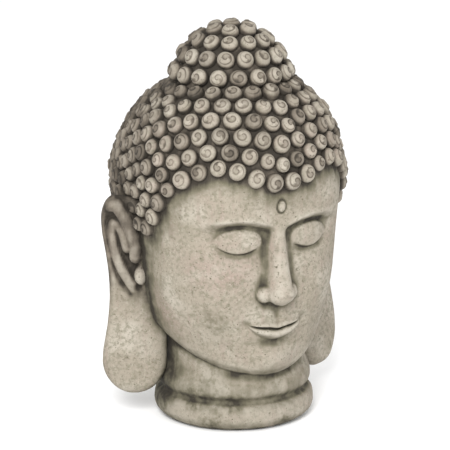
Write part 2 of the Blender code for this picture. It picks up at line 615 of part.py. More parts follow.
def reduce_where(obj, above, below, triangles):
    """Thins the mesh between two heights over the hairline to a count of triangles, and leaves the rest as it is."""
    mesh = obj.data
    points = np.empty(len(mesh.vertices) * 3, np.float32)
    mesh.vertices.foreach_get("co", points)
    x, y, z = points.reshape(-1, 3).T
    over = z - hairline_z(np.arctan2(x, -y))
    chosen = (over > above) & (over < below)
    group = obj.vertex_groups.new(name="thinned")
    group.add(np.nonzero(chosen)[0].tolist(), 1.0, "REPLACE")
    total = sum(len(face.vertices) - 2 for face in mesh.polygons)
    inside = sum(len(face.vertices) - 2 for face in mesh.polygons if chosen[face.vertices[0]])
    thin = obj.modifiers.new("thin", "DECIMATE")
    thin.vertex_group = group.name
    thin.ratio = (total - inside + triangles) / total
    apply_modifier(obj, "thin")
    obj.vertex_groups.remove(obj.vertex_groups["thinned"])


def main():
    for obj in list(bpy.data.objects):
        bpy.data.objects.remove(obj)
    scalp = meridians(COLUMNS, ROWS, -6 * MM)
    head_grid = raise_curls(scalp, curl_centres())
    ears = [ear_grid(-1), ear_grid(1)]
    shells = [(head_grid, (0, 0, KNOT_TOP_Z + CURL_HEIGHT))]
    shells += [(grid, grid[-1].mean(axis=0)) for grid in ears]
    mesh = shells_mesh("buddha_head", shells)
    mesh.materials.append(stone_material())
    head = bpy.data.objects.new("buddha_head", mesh)
    bpy.context.scene.collection.objects.link(head)

    # The shells overlap, and neighbouring curls do where they meet: this makes them one skin
    fuse = head.modifiers.new("fuse", "REMESH")
    fuse.mode = "VOXEL"
    fuse.voxel_size = VOXEL
    apply_modifier(head, "fuse")
    reduce_where(head, -1, 3 * MM, FACE_TRIANGLES)
    reduce_where(head, -8 * MM, 1, HAIR_TRIANGLES)

    bpy.ops.mesh.primitive_cube_add(size=1, location=(0, 0, -0.05), scale=(0.6, 0.6, 0.1))
    floor = bpy.context.object
    floor.name = "floor_cut"
    floor.hide_render = True
    floor.display_type = "WIRE"
    cut = head.modifiers.new("flat_underside", "BOOLEAN")
    cut.operation = "DIFFERENCE"
    cut.solver = "EXACT"
    cut.object = floor


if __name__ == "__main__":
    main()
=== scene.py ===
import math

import bpy
import numpy as np
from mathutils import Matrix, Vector, noise
from mathutils.bvhtree import BVHTree


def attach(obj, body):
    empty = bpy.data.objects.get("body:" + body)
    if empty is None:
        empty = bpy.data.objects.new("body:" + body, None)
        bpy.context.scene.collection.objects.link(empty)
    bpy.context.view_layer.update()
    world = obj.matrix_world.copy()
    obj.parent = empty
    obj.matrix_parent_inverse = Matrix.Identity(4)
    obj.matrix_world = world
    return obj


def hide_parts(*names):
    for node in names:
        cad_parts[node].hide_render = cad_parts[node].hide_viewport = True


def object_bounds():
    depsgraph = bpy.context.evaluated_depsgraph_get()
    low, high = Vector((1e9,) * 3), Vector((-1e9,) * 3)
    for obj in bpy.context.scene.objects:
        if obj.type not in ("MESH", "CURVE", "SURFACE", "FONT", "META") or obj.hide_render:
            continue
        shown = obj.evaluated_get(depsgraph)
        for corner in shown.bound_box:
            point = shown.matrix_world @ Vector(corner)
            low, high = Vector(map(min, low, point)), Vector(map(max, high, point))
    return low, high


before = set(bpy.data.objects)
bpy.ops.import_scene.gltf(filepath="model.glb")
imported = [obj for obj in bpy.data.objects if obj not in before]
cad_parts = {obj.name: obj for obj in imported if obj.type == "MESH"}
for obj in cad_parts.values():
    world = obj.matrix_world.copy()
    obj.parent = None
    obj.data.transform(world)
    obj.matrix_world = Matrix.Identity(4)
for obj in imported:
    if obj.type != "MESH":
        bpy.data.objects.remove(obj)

# A Buddha head for the garden, cast in one piece of stone mix and brushed with a dark wash.
# It stands on its own cut neck. +Z is up, the face looks along -Y, and +X is the figure's left.
cad_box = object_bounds()
MM = 0.001


# The head: skull, face and ringed neck of the one casting, flat underneath so that it stands.
# It is cast stone. Its form is a ball drawn out along meridians, with the face carved into their radius,
# and the closed eyes, long nose and faint smile follow the sculptor's canon of parts.
NECK_WIDTH = 200 * MM
NECK_DEPTH = 202 * MM
FOLD_CREASE_Z = 37 * MM
FOLD_CREASE_DEPTH = 6 * MM
UPPER_FOLD_INSET = 4 * MM
JAW_CREASE_Z = 66 * MM
BASE_EDGE_ROUND = 16 * MM
SKULL_WIDTH = 254 * MM
SKULL_FRONT = 126 * MM
SKULL_BACK = 190 * MM
SKULL_WIDEST_Z = 296 * MM
SKULL_TOP_Z = 431 * MM
CHIN_Z = 70 * MM
JAW_RISE = 74 * MM
CHIN_ROUND = 30 * MM
NAPE_ROUND = 60 * MM
KNOT_WIDTH = 139 * MM
KNOT_TOP_Z = 485 * MM
KNOT_FOOT_Z = 411 * MM
KNOT_BACK = 7 * MM
KNOT_POWER = 1.95
CANON_CROWN_Z = 420 * MM
UNIT = (CANON_CROWN_Z - CHIN_Z) / 3.5
NOSE_Z = CHIN_Z + UNIT
EYE_Z = CHIN_Z + 1.75 * UNIT
BROW_Z = CHIN_Z + 2 * UNIT
MOUTH_Z = NOSE_Z - UNIT / 3
EYE_WIDTH = SKULL_WIDTH / 5
URNA_Z = BROW_Z + 0.19 * UNIT
URNA_WIDTH = 10 * MM
URNA_HEIGHT = 14 * MM
HAIR_PEAK_Z = 305 * MM
HAIR_ARCH_Z = 325 * MM
HAIR_TEMPLE_Z = 284 * MM
HAIR_LOCK_Z = 240 * MM
HAIR_OVER_EAR_Z = 292 * MM
HAIR_NAPE_Z = 150 * MM
HAIR_BEHIND_EAR = ((118, 0.21), (130, 0.65), (145, 0.93))
HEAD_COLUMNS = 332
HEAD_ROWS = 286
UNDERSIDE_RINGS = 4
STONE_COLOUR = (0.258, 0.226, 0.18, 1)
STONE_LIGHT = (0.352, 0.322, 0.27, 1)
STONE_PINK = (0.252, 0.2, 0.166, 1)
STONE_GREEN = (0.168, 0.155, 0.112, 1)
SHADE_COLOUR = (0.104, 0.094, 0.062, 1)
HAIR_SHADE = (0.106, 0.088, 0.068, 1)
# Near-black of the deepest dark wash and painted shadow, in crevices and between the curls
WASH_AND_SHADOW_COLOUR = (0.024, 0.02, 0.015, 1)


def smooth_max(a, b, blend):
    """The larger of a and b, with the corner between them rounded over about blend."""
    share = np.clip(0.5 + 0.5 * (a - b) / blend, 0, 1)
    return b + (a - b) * share + blend * share * (1 - share)


def ramp(low, high, value):
    """0 below low, 1 above high, and an eased climb in between."""
    t = np.clip((value - low) / (high - low), 0, 1)
    return t * t * (3 - 2 * t)


def bump(distance, width):
    return np.exp(-((distance / width) ** 2))


def through(knots, value):
    """A smooth curve through (position, size) knots."""
    at, size = np.array(knots).T
    slope = np.gradient(size, at)
    i = np.clip(np.searchsorted(at, value) - 1, 0, len(at) - 2)
    span = at[i + 1] - at[i]
    t = np.clip((value - at[i]) / span, 0, 1)
    return (
        size[i] * (1 + 2 * t) * (1 - t) ** 2
        + slope[i] * span * t * (1 - t) ** 2
        + size[i + 1] * t * t * (3 - 2 * t)
        - slope[i + 1] * span * t * t * (1 - t)
    )


def oval(angle, half_width, front, back, fullness=2.0):
    """Radius of an egg-shaped horizontal section; the angle is 0 at the face and pi at the nape."""
    depth = np.where(np.cos(angle) > 0, front, back)
    across = np.abs(np.sin(angle) / half_width) ** fullness
    along = np.abs(np.cos(angle) / depth) ** fullness
    return (across + along) ** (-1 / fullness)


def neck_radius(angle, z):
    """Two rounded folds with a crease between, and a rounded lower edge."""
    fold = oval(angle, NECK_WIDTH / 2, NECK_DEPTH / 2, NECK_DEPTH / 2)
    lower = 1 - ((z - 0.48 * FOLD_CREASE_Z) / FOLD_CREASE_Z) ** 2 * 0.14
    edge = np.clip((BASE_EDGE_ROUND - z) / BASE_EDGE_ROUND, 0, 1)
    lower = fold * lower - BASE_EDGE_ROUND * (1 - np.sqrt(1 - edge**2))
    middle = (FOLD_CREASE_Z + JAW_CREASE_Z) / 2
    reach = JAW_CREASE_Z - FOLD_CREASE_Z
    upper = (fold - UPPER_FOLD_INSET) * (1 - ((z - middle) / reach) ** 2 * 0.17)
    shaped = smooth_max(np.where(z < 1.3 * FOLD_CREASE_Z, lower, 0), upper, 1.5 * MM)
    crease = FOLD_CREASE_DEPTH * bump(z - FOLD_CREASE_Z, 4.5 * MM) * (1 - 0.7 * ramp(1.9, 2.6, np.abs(angle)))
    ends = JAW_CREASE_Z + 0.8 * JAW_RISE, JAW_CREASE_Z + JAW_RISE + NAPE_ROUND
    inside = (fold - 11 * MM) * (1 - ramp(*ends, z))
    return np.where(z < middle, shaped - crease, smooth_max(shaped, inside, 4 * MM))


def skull_radius(angle, z):
    """Cranium and face before any feature is carved."""
    levels = [CHIN_Z - 0.2 * UNIT, CHIN_Z + 0.1 * UNIT, CHIN_Z + 0.4 * UNIT, MOUTH_Z, NOSE_Z]
    levels += [EYE_Z - 0.3 * UNIT, EYE_Z, BROW_Z]
    levels += [SKULL_WIDEST_Z, SKULL_WIDEST_Z + 0.2 * UNIT, SKULL_WIDEST_Z + 0.4 * UNIT]
    widths = SKULL_WIDTH / 2 * np.array([0.64, 0.72, 0.81, 0.88, 0.93, 0.96, 0.97, 0.98, 1, 1])
    fronts = SKULL_FRONT * np.array([0.76, 0.81, 0.835, 0.86, 0.885, 0.91, 0.93, 0.97, 0.995, 1, 1])
    backs = SKULL_BACK * np.array([0.56, 0.68, 0.9, 0.98, 1, 1])
    width, front = (through(list(zip(levels, sizes)), z) for sizes in (widths, fronts))
    back = through(list(zip([levels[i] for i in (0, 3, 5, 7, 8, 9)], backs)), z)
    rise = np.clip((z - SKULL_WIDEST_Z) / (SKULL_TOP_Z - SKULL_WIDEST_Z), 0, 1)
    power = 2.35 - 0.4 * ramp(1.2, 2.8, np.abs(angle))
    dome = (1 - rise**power) ** (1 / power)
    fullness = 2 + 0.3 * ramp(CHIN_Z, EYE_Z, z) * (1 - ramp(BROW_Z, SKULL_WIDEST_Z + 0.6 * UNIT, z))
    section = oval(angle, width, front, back, fullness) * dome
    round_the_back = (1 - np.cos(angle)) / 2
    low = JAW_CREASE_Z - 0.42 * CHIN_ROUND + JAW_RISE * round_the_back
    edge = CHIN_ROUND + (NAPE_ROUND - CHIN_ROUND) * round_the_back
    under = np.clip((low + edge - z) / edge, 0, 1)
    return section * np.sqrt(1 - under**2)


def knot_profile(z):
    """Half-width of the topknot at a height: a dome drawn in a little at its foot."""
    rise = np.clip((z - KNOT_FOOT_Z) / (KNOT_TOP_Z - KNOT_FOOT_Z), 0, 1)
    dome = (1 - rise**KNOT_POWER) ** (1 / KNOT_POWER)
    foot = 1 - 1.2 * np.clip((KNOT_FOOT_Z + 12 * MM - z) / (0.5 * KNOT_WIDTH), 0, 1) ** 2
    return KNOT_WIDTH / 2 * dome * foot


def knot_radius(angle, z):
    """Distance of the topknot's surface from the axis, which it is set a little behind."""
    round_it = knot_profile(z)
    behind = np.minimum(KNOT_BACK, 0.9 * round_it)
    inside = round_it**2 - (behind * np.sin(angle)) ** 2
    return np.sqrt(np.clip(inside, 0, None)) - behind * np.cos(angle)


def ellipse(x, z, centre_x, centre_z, half_x, half_z):
    """0 at the centre of an upright ellipse and 1 on its edge."""
    return np.sqrt(((x - centre_x) / half_x) ** 2 + ((z - centre_z) / half_z) ** 2)


def cap(reach, height):
    """Height of a half-ellipsoid over its base, and a steep fall outside it."""
    return height * (np.sqrt(np.clip(1 - reach**2, 0, 1)) - 4 * np.clip(reach - 1, 0, 1))


def lid_line(side):
    """Height of the closed lid's edge across one eye; side is the distance from the face's middle."""
    across = np.clip((side - EYE_WIDTH) / (0.53 * EYE_WIDTH), -1, 1)
    return EYE_Z - 0.035 * UNIT - 0.095 * UNIT * (1 - across**2) + 0.015 * UNIT * across


def brow_line(side):
    """Height of the arched brow: its crown is over the outer half of the eye."""
    reach = (side - 0.52 * UNIT) / (0.42 * UNIT)
    return BROW_Z + 0.03 * UNIT - 0.085 * UNIT * reach**2 * (1 - 0.15 * reach)


def eyes(side, z, surface):
    """Sockets under arched brows, and full closed lids that look down."""
    below_brow = brow_line(side) - z
    depth = ramp(-0.02 * UNIT, 0.11 * UNIT, below_brow)
    depth = depth * (1 - 0.4 * ramp(0.1 * UNIT, 0.35 * UNIT, below_brow))
    depth = depth * (1 - ramp(0.3 * UNIT, 0.62 * UNIT, below_brow))
    depth = depth * (1 - ramp(0.66 * UNIT, 0.98 * UNIT, side))
    socket = 0.1 * UNIT * depth * ramp(0.02 * UNIT, 0.15 * UNIT, side)
    ridge = 0.012 * UNIT * bump(below_brow + 0.015 * UNIT, 0.04 * UNIT)
    socket = socket - ridge * (1 - ramp(0.6 * UNIT, 0.9 * UNIT, side)) * ramp(0.05 * UNIT, 0.2 * UNIT, side)
    lid_reach = ellipse(side, z, 0.98 * EYE_WIDTH, EYE_Z - 0.015 * UNIT, 0.66 * EYE_WIDTH, 0.21 * UNIT)
    lid = surface - 0.105 * UNIT + cap(lid_reach, 0.095 * UNIT)
    carved = smooth_max(surface - socket, lid, 2 * MM)
    across = np.clip(np.abs(side - EYE_WIDTH) / (0.53 * EYE_WIDTH), 0, 1)
    inside = 1 - across**4
    below = lid_line(side) - z
    carved = carved - 2.6 * MM * inside * ramp(0, 1.6 * MM, below) * (1 - ramp(3 * MM, 13 * MM, below))
    carved = carved - 0.9 * MM * bump(lid_reach - 0.93, 0.035) * ramp(0, 4 * MM, -below)
    return carved - 2 * MM * inside * bump(below - 0.8 * MM, 1.2 * MM)


def nose(x, z, surface):
    """A straight ridge from the brow to a round tip, with two wings."""
    side = np.abs(x)
    top_z, tip_z = BROW_Z - 0.06 * UNIT, NOSE_Z + 0.11 * UNIT
    top, tip = 0.955 * SKULL_FRONT, SKULL_FRONT + 0.13 * UNIT
    down = (top_z - z) / (top_z - tip_z)
    ridge = top + (tip - top) * np.clip(down, 0, 1) ** 1.1
    ridge = ridge - 3 * np.clip(tip_z - z, 0, 1) - 0.6 * np.clip(z - top_z, 0, 1)
    flat = (0.035 + 0.035 * np.clip(down, 0, 1)) * UNIT
    ridge = ridge - (1.15 + 0.65 * np.clip(down, 0, 1)) * smooth_max(side - flat, 0, 4 * MM)
    carved = smooth_max(surface, ridge, 8 * MM)
    ball_reach = ellipse(x, z, 0, tip_z - 0.005 * UNIT, 0.145 * UNIT, 0.135 * UNIT)
    ball = tip - 0.145 * UNIT + cap(ball_reach, 0.15 * UNIT)
    carved = smooth_max(carved, ball, 6 * MM)
    wing_reach = ellipse(side, z, 0.14 * UNIT, tip_z - 0.005 * UNIT, 0.13 * UNIT, 0.125 * UNIT)
    wing = tip - 0.27 * UNIT + cap(wing_reach, 0.14 * UNIT)
    carved = smooth_max(carved, wing, 5 * MM)
    nostril = ellipse(side, z, 0.105 * UNIT, NOSE_Z - 0.005 * UNIT, 0.06 * UNIT, 0.03 * UNIT)
    return carved - 0.05 * UNIT * bump(nostril, 1)


def mouth(x, z, surface):
    """Full lips in a faint smile, set on the round of the jaw."""
    side = np.abs(x)
    half = 0.36 * UNIT
    out = np.clip(side / half, 0, 1)
    line = MOUTH_Z - 0.016 * UNIT * bump(x, 0.07 * UNIT) + 0.05 * UNIT * out**2.2
    taper = np.sqrt(np.clip(1 - out**2, 0, 1))
    upper = 0.115 * UNIT * (1 - out**1.8) - 0.02 * UNIT * bump(x, 0.045 * UNIT) + 0.2 * MM
    lower = 0.15 * UNIT * (1 - out**2.6) + 0.2 * MM
    above = (z - line) / upper
    under = (line - z) / lower
    upper_lip = np.clip(1 - (2 * above - 0.7) ** 2, 0, 1) ** 1.4 * 0.056 * UNIT * taper
    lower_lip = np.clip(1 - (1.75 * under - 0.75) ** 2, 0, 1) ** 1.3 * 0.072 * UNIT * taper
    lips = np.where(above > 0, upper_lip, lower_lip) * (out < 1)
    carved = surface + smooth_max(lips, 0, 1.2 * MM)
    carved = carved - 0.03 * UNIT * bump(z - line, 1.4 * MM) * (1 - out**6)
    corner = ellipse(side, z, 1.03 * half, MOUTH_Z + 0.05 * UNIT, 0.07 * UNIT, 0.06 * UNIT)
    return carved - 0.024 * UNIT * bump(corner, 1)


def soft_forms(x, z):
    """The round of the jaw, chin, cheeks and upper lip, as heights over the plain face."""
    side = np.abs(x)
    forms = 0.05 * UNIT * bump(ellipse(x, z, 0, MOUTH_Z + 0.02 * UNIT, 0.36 * UNIT, 0.27 * UNIT), 1)
    forms += 0.085 * UNIT * bump(ellipse(x, z, 0, CHIN_Z + 0.24 * UNIT, 0.24 * UNIT, 0.18 * UNIT), 1)
    forms -= 0.035 * UNIT * bump(ellipse(x, z, 0, MOUTH_Z - 0.21 * UNIT, 0.24 * UNIT, 0.07 * UNIT), 1)
    forms += 0.05 * UNIT * bump(ellipse(side, z, 0.62 * UNIT, NOSE_Z + 0.1 * UNIT, 0.3 * UNIT, 0.4 * UNIT), 1)
    groove = ramp(MOUTH_Z + 0.07 * UNIT, MOUTH_Z + 0.14 * UNIT, z)
    groove = groove * (1 - ramp(NOSE_Z - 0.04 * UNIT, NOSE_Z, z))
    forms -= 0.024 * UNIT * bump(x, 0.042 * UNIT) * groove
    return forms


def urna(x, z, surface):
    """The oval bead on the forehead, in a fine ring."""
    reach = ellipse(x, z, 0, URNA_Z, URNA_WIDTH / 2, URNA_HEIGHT / 2)
    ringed = surface - 1.2 * MM * bump(reach - 1.25, 0.28)
    return smooth_max(ringed, surface - 1 * MM + cap(reach, 4 * MM), 0.4 * MM)


def head_radius(angle, z):
    """Distance of the bare surface from the vertical axis, with every feature of the face."""
    skull = skull_radius(angle, z)
    x = skull * np.sin(angle)
    facing = ramp(0.05, 0.35, np.cos(angle)) * (skull > 0.5 * SKULL_FRONT)
    face = skull + soft_forms(x, z)
    face = eyes(np.abs(x), z, face)
    face = mouth(x, z, face)
    face = nose(x, z, face)
    face = urna(x, z, face)
    skull = skull + (face - skull) * facing
    behind_ears = ramp(1.2, 2.2, np.abs(angle))
    solid = smooth_max(skull, neck_radius(angle, z), 2 * MM + 24 * MM * behind_ears)
    return smooth_max(solid, knot_radius(angle, z), 3 * MM)


def column_angles(count):
    """Angles round the head, three times as close together over the face as at the back."""
    fine = np.linspace(-math.pi, math.pi, 4001)
    share = 1 + 2 * ramp(-0.25, 0.45, np.cos(fine))
    travelled = np.concatenate([[0], np.cumsum((share[1:] + share[:-1]) / 2)])
    return np.interp(np.arange(count) / count, travelled / travelled[-1], fine)


def meridians(columns, rows):
    """Points of the bare head, close together below the hair and far apart under it."""
    climb = np.linspace(0, 1, 2400)
    z = (KNOT_TOP_Z - 1e-6) * (1 - (1 - climb) ** 1.6)
    angles = column_angles(columns)
    radius = head_radius(angles[None, :], z[:, None])
    step = np.hypot(np.diff(radius, axis=0), np.diff(z)[:, None])
    middle = ((z[1:] + z[:-1]) / 2)[:, None]
    step = step * (1 - 0.85 * ramp(6 * MM, 22 * MM, middle - hairline_z(angles)[None, :]))
    travelled = np.concatenate([np.zeros((1, columns)), np.cumsum(step, axis=0)])
    points = np.empty((rows, columns, 3))
    for j, angle in enumerate(angles):
        height = np.interp(np.arange(rows) / rows * travelled[-1, j], travelled[:, j], z)
        reach = np.interp(height, z, radius[:, j])
        points[:, j] = np.stack([reach * math.sin(angle), -reach * math.cos(angle), height], axis=1)
    return points


def hairline_z(angle):
    """Lowest edge of the hair: a peak in front, down before the ear, and low at the nape."""
    degrees = np.abs(np.degrees(angle))

    def part_way(low, high, share):
        return low + share * (high - low)

    peak, arch, temple, lock, over_ear = HAIR_PEAK_Z, HAIR_ARCH_Z, HAIR_TEMPLE_Z, HAIR_LOCK_Z, HAIR_OVER_EAR_Z
    knots = [(-1, peak), (10, part_way(peak, arch, 0.2)), (24, part_way(peak, arch, 0.8)), (38, arch)]
    knots += [(52, part_way(arch, temple, 0.3)), (60, part_way(arch, temple, 0.55)), (68, temple)]
    knots += [(80, part_way(temple, lock, 0.87)), (91, lock)]
    knots += [(99, part_way(lock, over_ear, 0.6)), (108, over_ear)]
    knots += [(at, part_way(over_ear, HAIR_NAPE_Z, share)) for at, share in HAIR_BEHIND_EAR]
    return through(knots + [(181, HAIR_NAPE_Z)], degrees)


def vectors(items, name):
    values = np.empty(len(items) * 3, np.float32)
    items.foreach_get(name, values)
    return values.reshape(-1, 3).astype(float)


def coordinates(piece):
    return vectors(piece.data.vertices, "co")


def normals_of(piece):
    return vectors(piece.data.vertex_normals, "vector")


def move_to(piece, points):
    piece.data.vertices.foreach_set("co", points.astype(np.float32).reshape(-1))
    piece.data.update()


def ball_of(name, columns, rings):
    """A new ball, with the ring (0 at the lower pole) and the column (0 at the back) of each point."""
    bpy.ops.object.select_all(action="DESELECT")
    bpy.ops.mesh.primitive_uv_sphere_add(segments=columns, ring_count=rings, radius=1)
    ball = bpy.context.object
    ball.name = ball.data.name = name
    x, y, z = coordinates(ball).T
    ring = np.round((np.arctan2(z, np.hypot(x, y)) / math.pi + 0.5) * rings).astype(int)
    column = np.round((np.arctan2(x, -y) / (2 * math.pi) + 0.5) * columns).astype(int) % columns
    return ball, ring, column


def hand_worn(points, normals, depth):
    """The points moved in and out a little, as on a surface rubbed down by hand."""
    lift = [noise.noise(Vector(p) * 42) + 0.45 * noise.noise(Vector(p) * 130) for p in points]
    return np.clip(points + normals * (depth * np.array(lift))[:, None], *np.array(cad_box))


def mean_over(field, rows, columns, width, turn=None):
    """A height field averaged over about width; its columns close up where a full turn is given."""
    for places, whole in ((rows, None), (columns, turn)):
        gap = places[:, None] - places[None]
        if whole:
            gap = (gap + whole / 2) % whole - whole / 2
        share = np.exp(-0.5 * (gap / width) ** 2)
        field = (share / share.sum(axis=1, keepdims=True) @ field).T
    return field


def look_up(field, rows, columns, row, column):
    """Values of a field between its evenly spaced rows and columns."""
    at_row = np.clip((row - rows[0]) / (rows[1] - rows[0]), 0, len(rows) - 1.001)
    at_column = np.clip((column - columns[0]) / (columns[1] - columns[0]), 0, len(columns) - 1.001)
    i, j = at_row.astype(int), at_column.astype(int)
    u, v = at_row - i, at_column - j
    below, above = ((1 - v) * field[k, j] + v * field[k, j + 1] for k in (i, i + 1))
    return (1 - u) * below + u * above


def write_mark(piece, name, values):
    mark = piece.data.attributes.new(name, "FLOAT", "POINT")
    mark.data.foreach_set("value", np.asarray(values).astype(np.float32))


def mark_hollows(piece, field, rows, columns, row, column, where, turn=None):
    """Two marks: how many millimetres each point lies below the mean round it, narrowly and broadly."""
    for name, width in (("dip", 2.6 * MM), ("basin", 9 * MM)):
        below = mean_over(field, rows, columns, width, turn) - field
        write_mark(piece, name, look_up(below, rows, columns, row, column) / MM * where)


head, ring, column = ball_of("head_and_neck", HEAD_COLUMNS, HEAD_ROWS + UNDERSIDE_RINGS + 1)
bare = meridians(HEAD_COLUMNS, HEAD_ROWS)
row = np.clip(ring - UNDERSIDE_RINGS - 1, 0, HEAD_ROWS - 1)
spread = np.clip(ring / (UNDERSIDE_RINGS + 1), 0, 1)[:, None]
formed = bare[row, column] * spread
formed[ring == ring.max()] = (0, 0, KNOT_TOP_Z)
move_to(head, formed)
worn = hand_worn(formed, normals_of(head), 0.4 * MM)
worn[formed[:, 2] < 0.1 * MM] = formed[formed[:, 2] < 0.1 * MM]
move_to(head, worn)
bpy.ops.object.shade_smooth()
heights = np.arange(0, KNOT_TOP_Z, 1 * MM)
arcs = np.linspace(-math.pi, math.pi, 721)[:-1] * SKULL_FRONT
round_it = np.arctan2(formed[:, 0], -formed[:, 1]) * SKULL_FRONT
relief = head_radius(arcs[None, :] / SKULL_FRONT, heights[:, None])
above = ring > UNDERSIDE_RINGS
mark_hollows(head, relief, heights, arcs, formed[:, 2], round_it, above, 2 * math.pi * SKULL_FRONT)


def stone_material(name):
    """Weathered cast stone. Marks on the piece say where the dark wash and painted shade lie, and where the
    wash is rubbed off.
    """
    material = bpy.data.materials.new(name)
    material.use_nodes = True
    nodes, links = material.node_tree.nodes, material.node_tree.links
    shader = nodes["Principled BSDF"]
    shader.inputs["Metallic"].default_value = 0
    shader.inputs["Specular IOR Level"].default_value = 0.25
    place = nodes.new("ShaderNodeTexCoord")

    def grain(scale, detail, stretch=None):
        """Noise of a scale in cycles to the metre, drawn out where a stretch is given."""
        field = nodes.new("ShaderNodeTexNoise")
        field.inputs["Scale"].default_value = scale
        field.inputs["Detail"].default_value = detail
        at = place.outputs["Object"]
        if stretch:
            drawn_out = nodes.new("ShaderNodeMapping")
            drawn_out.inputs["Scale"].default_value = stretch
            links.new(at, drawn_out.inputs["Vector"])
            at = drawn_out.outputs["Vector"]
        links.new(at, field.inputs["Vector"])
        return field.outputs["Fac"]

    def between(value, low, high, to_low=0.0, to_high=1.0):
        """The value carried from one range to another, and held at the ends."""
        span = nodes.new("ShaderNodeMapRange")
        span.interpolation_type = "SMOOTHSTEP"
        for socket, number in zip(("From Min", "From Max", "To Min", "To Max"), (low, high, to_low, to_high)):
            span.inputs[socket].default_value = number
        links.new(value, span.inputs["Value"])
        return span.outputs["Result"]

    def feed(socket, given):
        """A socket set to a number or a colour, or joined to another node."""
        if isinstance(given, (float, tuple)):
            socket.default_value = given
        else:
            links.new(given, socket)

    def sums(kind, *values):
        """The values added, multiplied or so on, one after another."""
        total = values[0]
        for value in values[1:]:
            step = nodes.new("ShaderNodeMath")
            step.operation = kind
            feed(step.inputs[0], total)
            feed(step.inputs[1], value)
            total = step.outputs["Value"]
        return total

    def paint(under, over, amount):
        """One colour laid over another by an amount."""
        coat = nodes.new("ShaderNodeMix")
        coat.data_type = "RGBA"
        coat.clamp_factor = True
        feed(coat.inputs[0], amount)
        feed(coat.inputs[6], under)
        feed(coat.inputs[7], over)
        return coat.outputs[2]

    def mark(attribute):
        read = nodes.new("ShaderNodeAttribute")
        read.attribute_name = attribute
        return read.outputs["Fac"]

    def pits(scale, size):
        """Small round pits, in some of the cells only."""
        cells = nodes.new("ShaderNodeTexVoronoi")
        cells.inputs["Scale"].default_value = scale
        links.new(place.outputs["Object"], cells.inputs["Vector"])
        split = nodes.new("ShaderNodeSeparateColor")
        links.new(cells.outputs["Color"], split.inputs["Color"])
        some = between(split.outputs["Red"], 0.62, 0.8)
        return sums("MULTIPLY", between(cells.outputs["Distance"], size, 0.4 * size), some)

    stone, streaks = STONE_COLOUR, grain(130, 4, (1, 1, 0.1))
    for tint, spots, low, high, most in (
        (STONE_PINK, grain(9, 3), 0.48, 0.7, 1.0),
        (STONE_GREEN, grain(14, 4), 0.52, 0.82, 0.6),
        (STONE_LIGHT, grain(26, 5), 0.44, 0.72, 0.85),
        (STONE_PINK, streaks, 0.5, 0.74, 0.6),
        (STONE_GREEN, grain(210, 5), 0.42, 0.7, 0.8),
        (STONE_LIGHT, grain(380, 3), 0.54, 0.72, 0.5),
    ):
        stone = paint(stone, tint, between(spots, low, high, 0.0, most))
    rubbed = sums("MULTIPLY", mark("rubbed"), between(grain(70, 3), 0.3, 0.7, 0.35, 1.0))
    stone = paint(stone, STONE_LIGHT, rubbed)
    small_pits, big_pits = pits(430.0, 0.3), pits(150.0, 0.17)
    patchy = between(grain(60, 6), 0.3, 0.7, 0.68, 1.3)
    # The dark wash and painted shade, made patchy and streaked
    wash_and_shade = sums("MULTIPLY", mark("wash_and_shade"), patchy, between(streaks, 0.3, 0.7, 0.85, 1.15))
    # Stains, and one painted shadow of the right lobe on the neck, made patchy
    stain_and_shadow = sums("MULTIPLY", mark("stain_and_shadow"), between(grain(150, 8), 0.36, 0.74, 0.08, 0.42))
    wash_and_shade = sums("ADD", wash_and_shade, stain_and_shadow)
    grime = between(grain(320, 4), 0.54, 0.78, 0.0, 0.5)
    grime = sums("ADD", grime, between(grain(95, 5), 0.5, 0.78, 0.0, 0.3))
    wash_and_shade = sums("MAXIMUM", wash_and_shade, grime, sums("MULTIPLY", small_pits, 0.5), sums("MULTIPLY", big_pits, 0.7))
    # The stone darkened by the wash and painted shade: olive or brown at first, near-black where deepest
    shade = paint(SHADE_COLOUR, HAIR_SHADE, mark("hair"))
    shaded = paint(stone, shade, between(wash_and_shade, 0.0, 0.62, 0.0, 0.95))
    colour = paint(shaded, WASH_AND_SHADOW_COLOUR, between(wash_and_shade, 0.42, 1.05, 0.0, 0.92))
    links.new(colour, shader.inputs["Base Color"])
    links.new(between(grain(90, 4), 0.3, 0.7, 0.78, 0.94), shader.inputs["Roughness"])

    relief = nodes.new("ShaderNodeBump")
    relief.inputs["Strength"].default_value = 0.6
    relief.inputs["Distance"].default_value = 0.6 * MM
    hollows = sums("ADD", small_pits, big_pits)
    height = sums("SUBTRACT", sums("ADD", grain(620, 5), grain(190, 4)), hollows)
    links.new(height, relief.inputs["Height"])
    links.new(relief.outputs["Normal"], shader.inputs["Normal"])
    return material


head.data.materials.append(stone_material("weathered_cast_stone"))
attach(head, "root")
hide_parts("buddha_head")


# The snail curls: each a roll wound up into a small dome with a spiral groove, all the same way round. They
# are cast with the head: a row on the hairline, rings round the topknot, and the rest packed between. Three
# are rolled up from strips and copied to the places, each turned and tilted a little differently.
CURL_WIDTH = 25 * MM
CURL_SPACING = 24 * MM
CURL_HEIGHT = 13.5 * MM
CURL_POWER = 3.3
SCALP_TRIALS = 3000
PACKING_STEPS = 60
CURL_SINK = 4 * MM
GROOVE_START = 1.5 * MM
GROOVES = ((7.6 * MM, 1.3 * MM), (8.2 * MM, 1 * MM), (7 * MM, 1.2 * MM))
GROOVE_TURNS = 2
SECTIONS_TO_A_TURN = 10
SHARES_ACROSS = np.array([0, 0.12, 0.88, 1])
HAIR_CENTRE = np.array([0, 0.1 * SKULL_BACK, SKULL_WIDEST_Z])


def unit(ways):
    return ways / np.linalg.norm(ways, axis=1, keepdims=True)


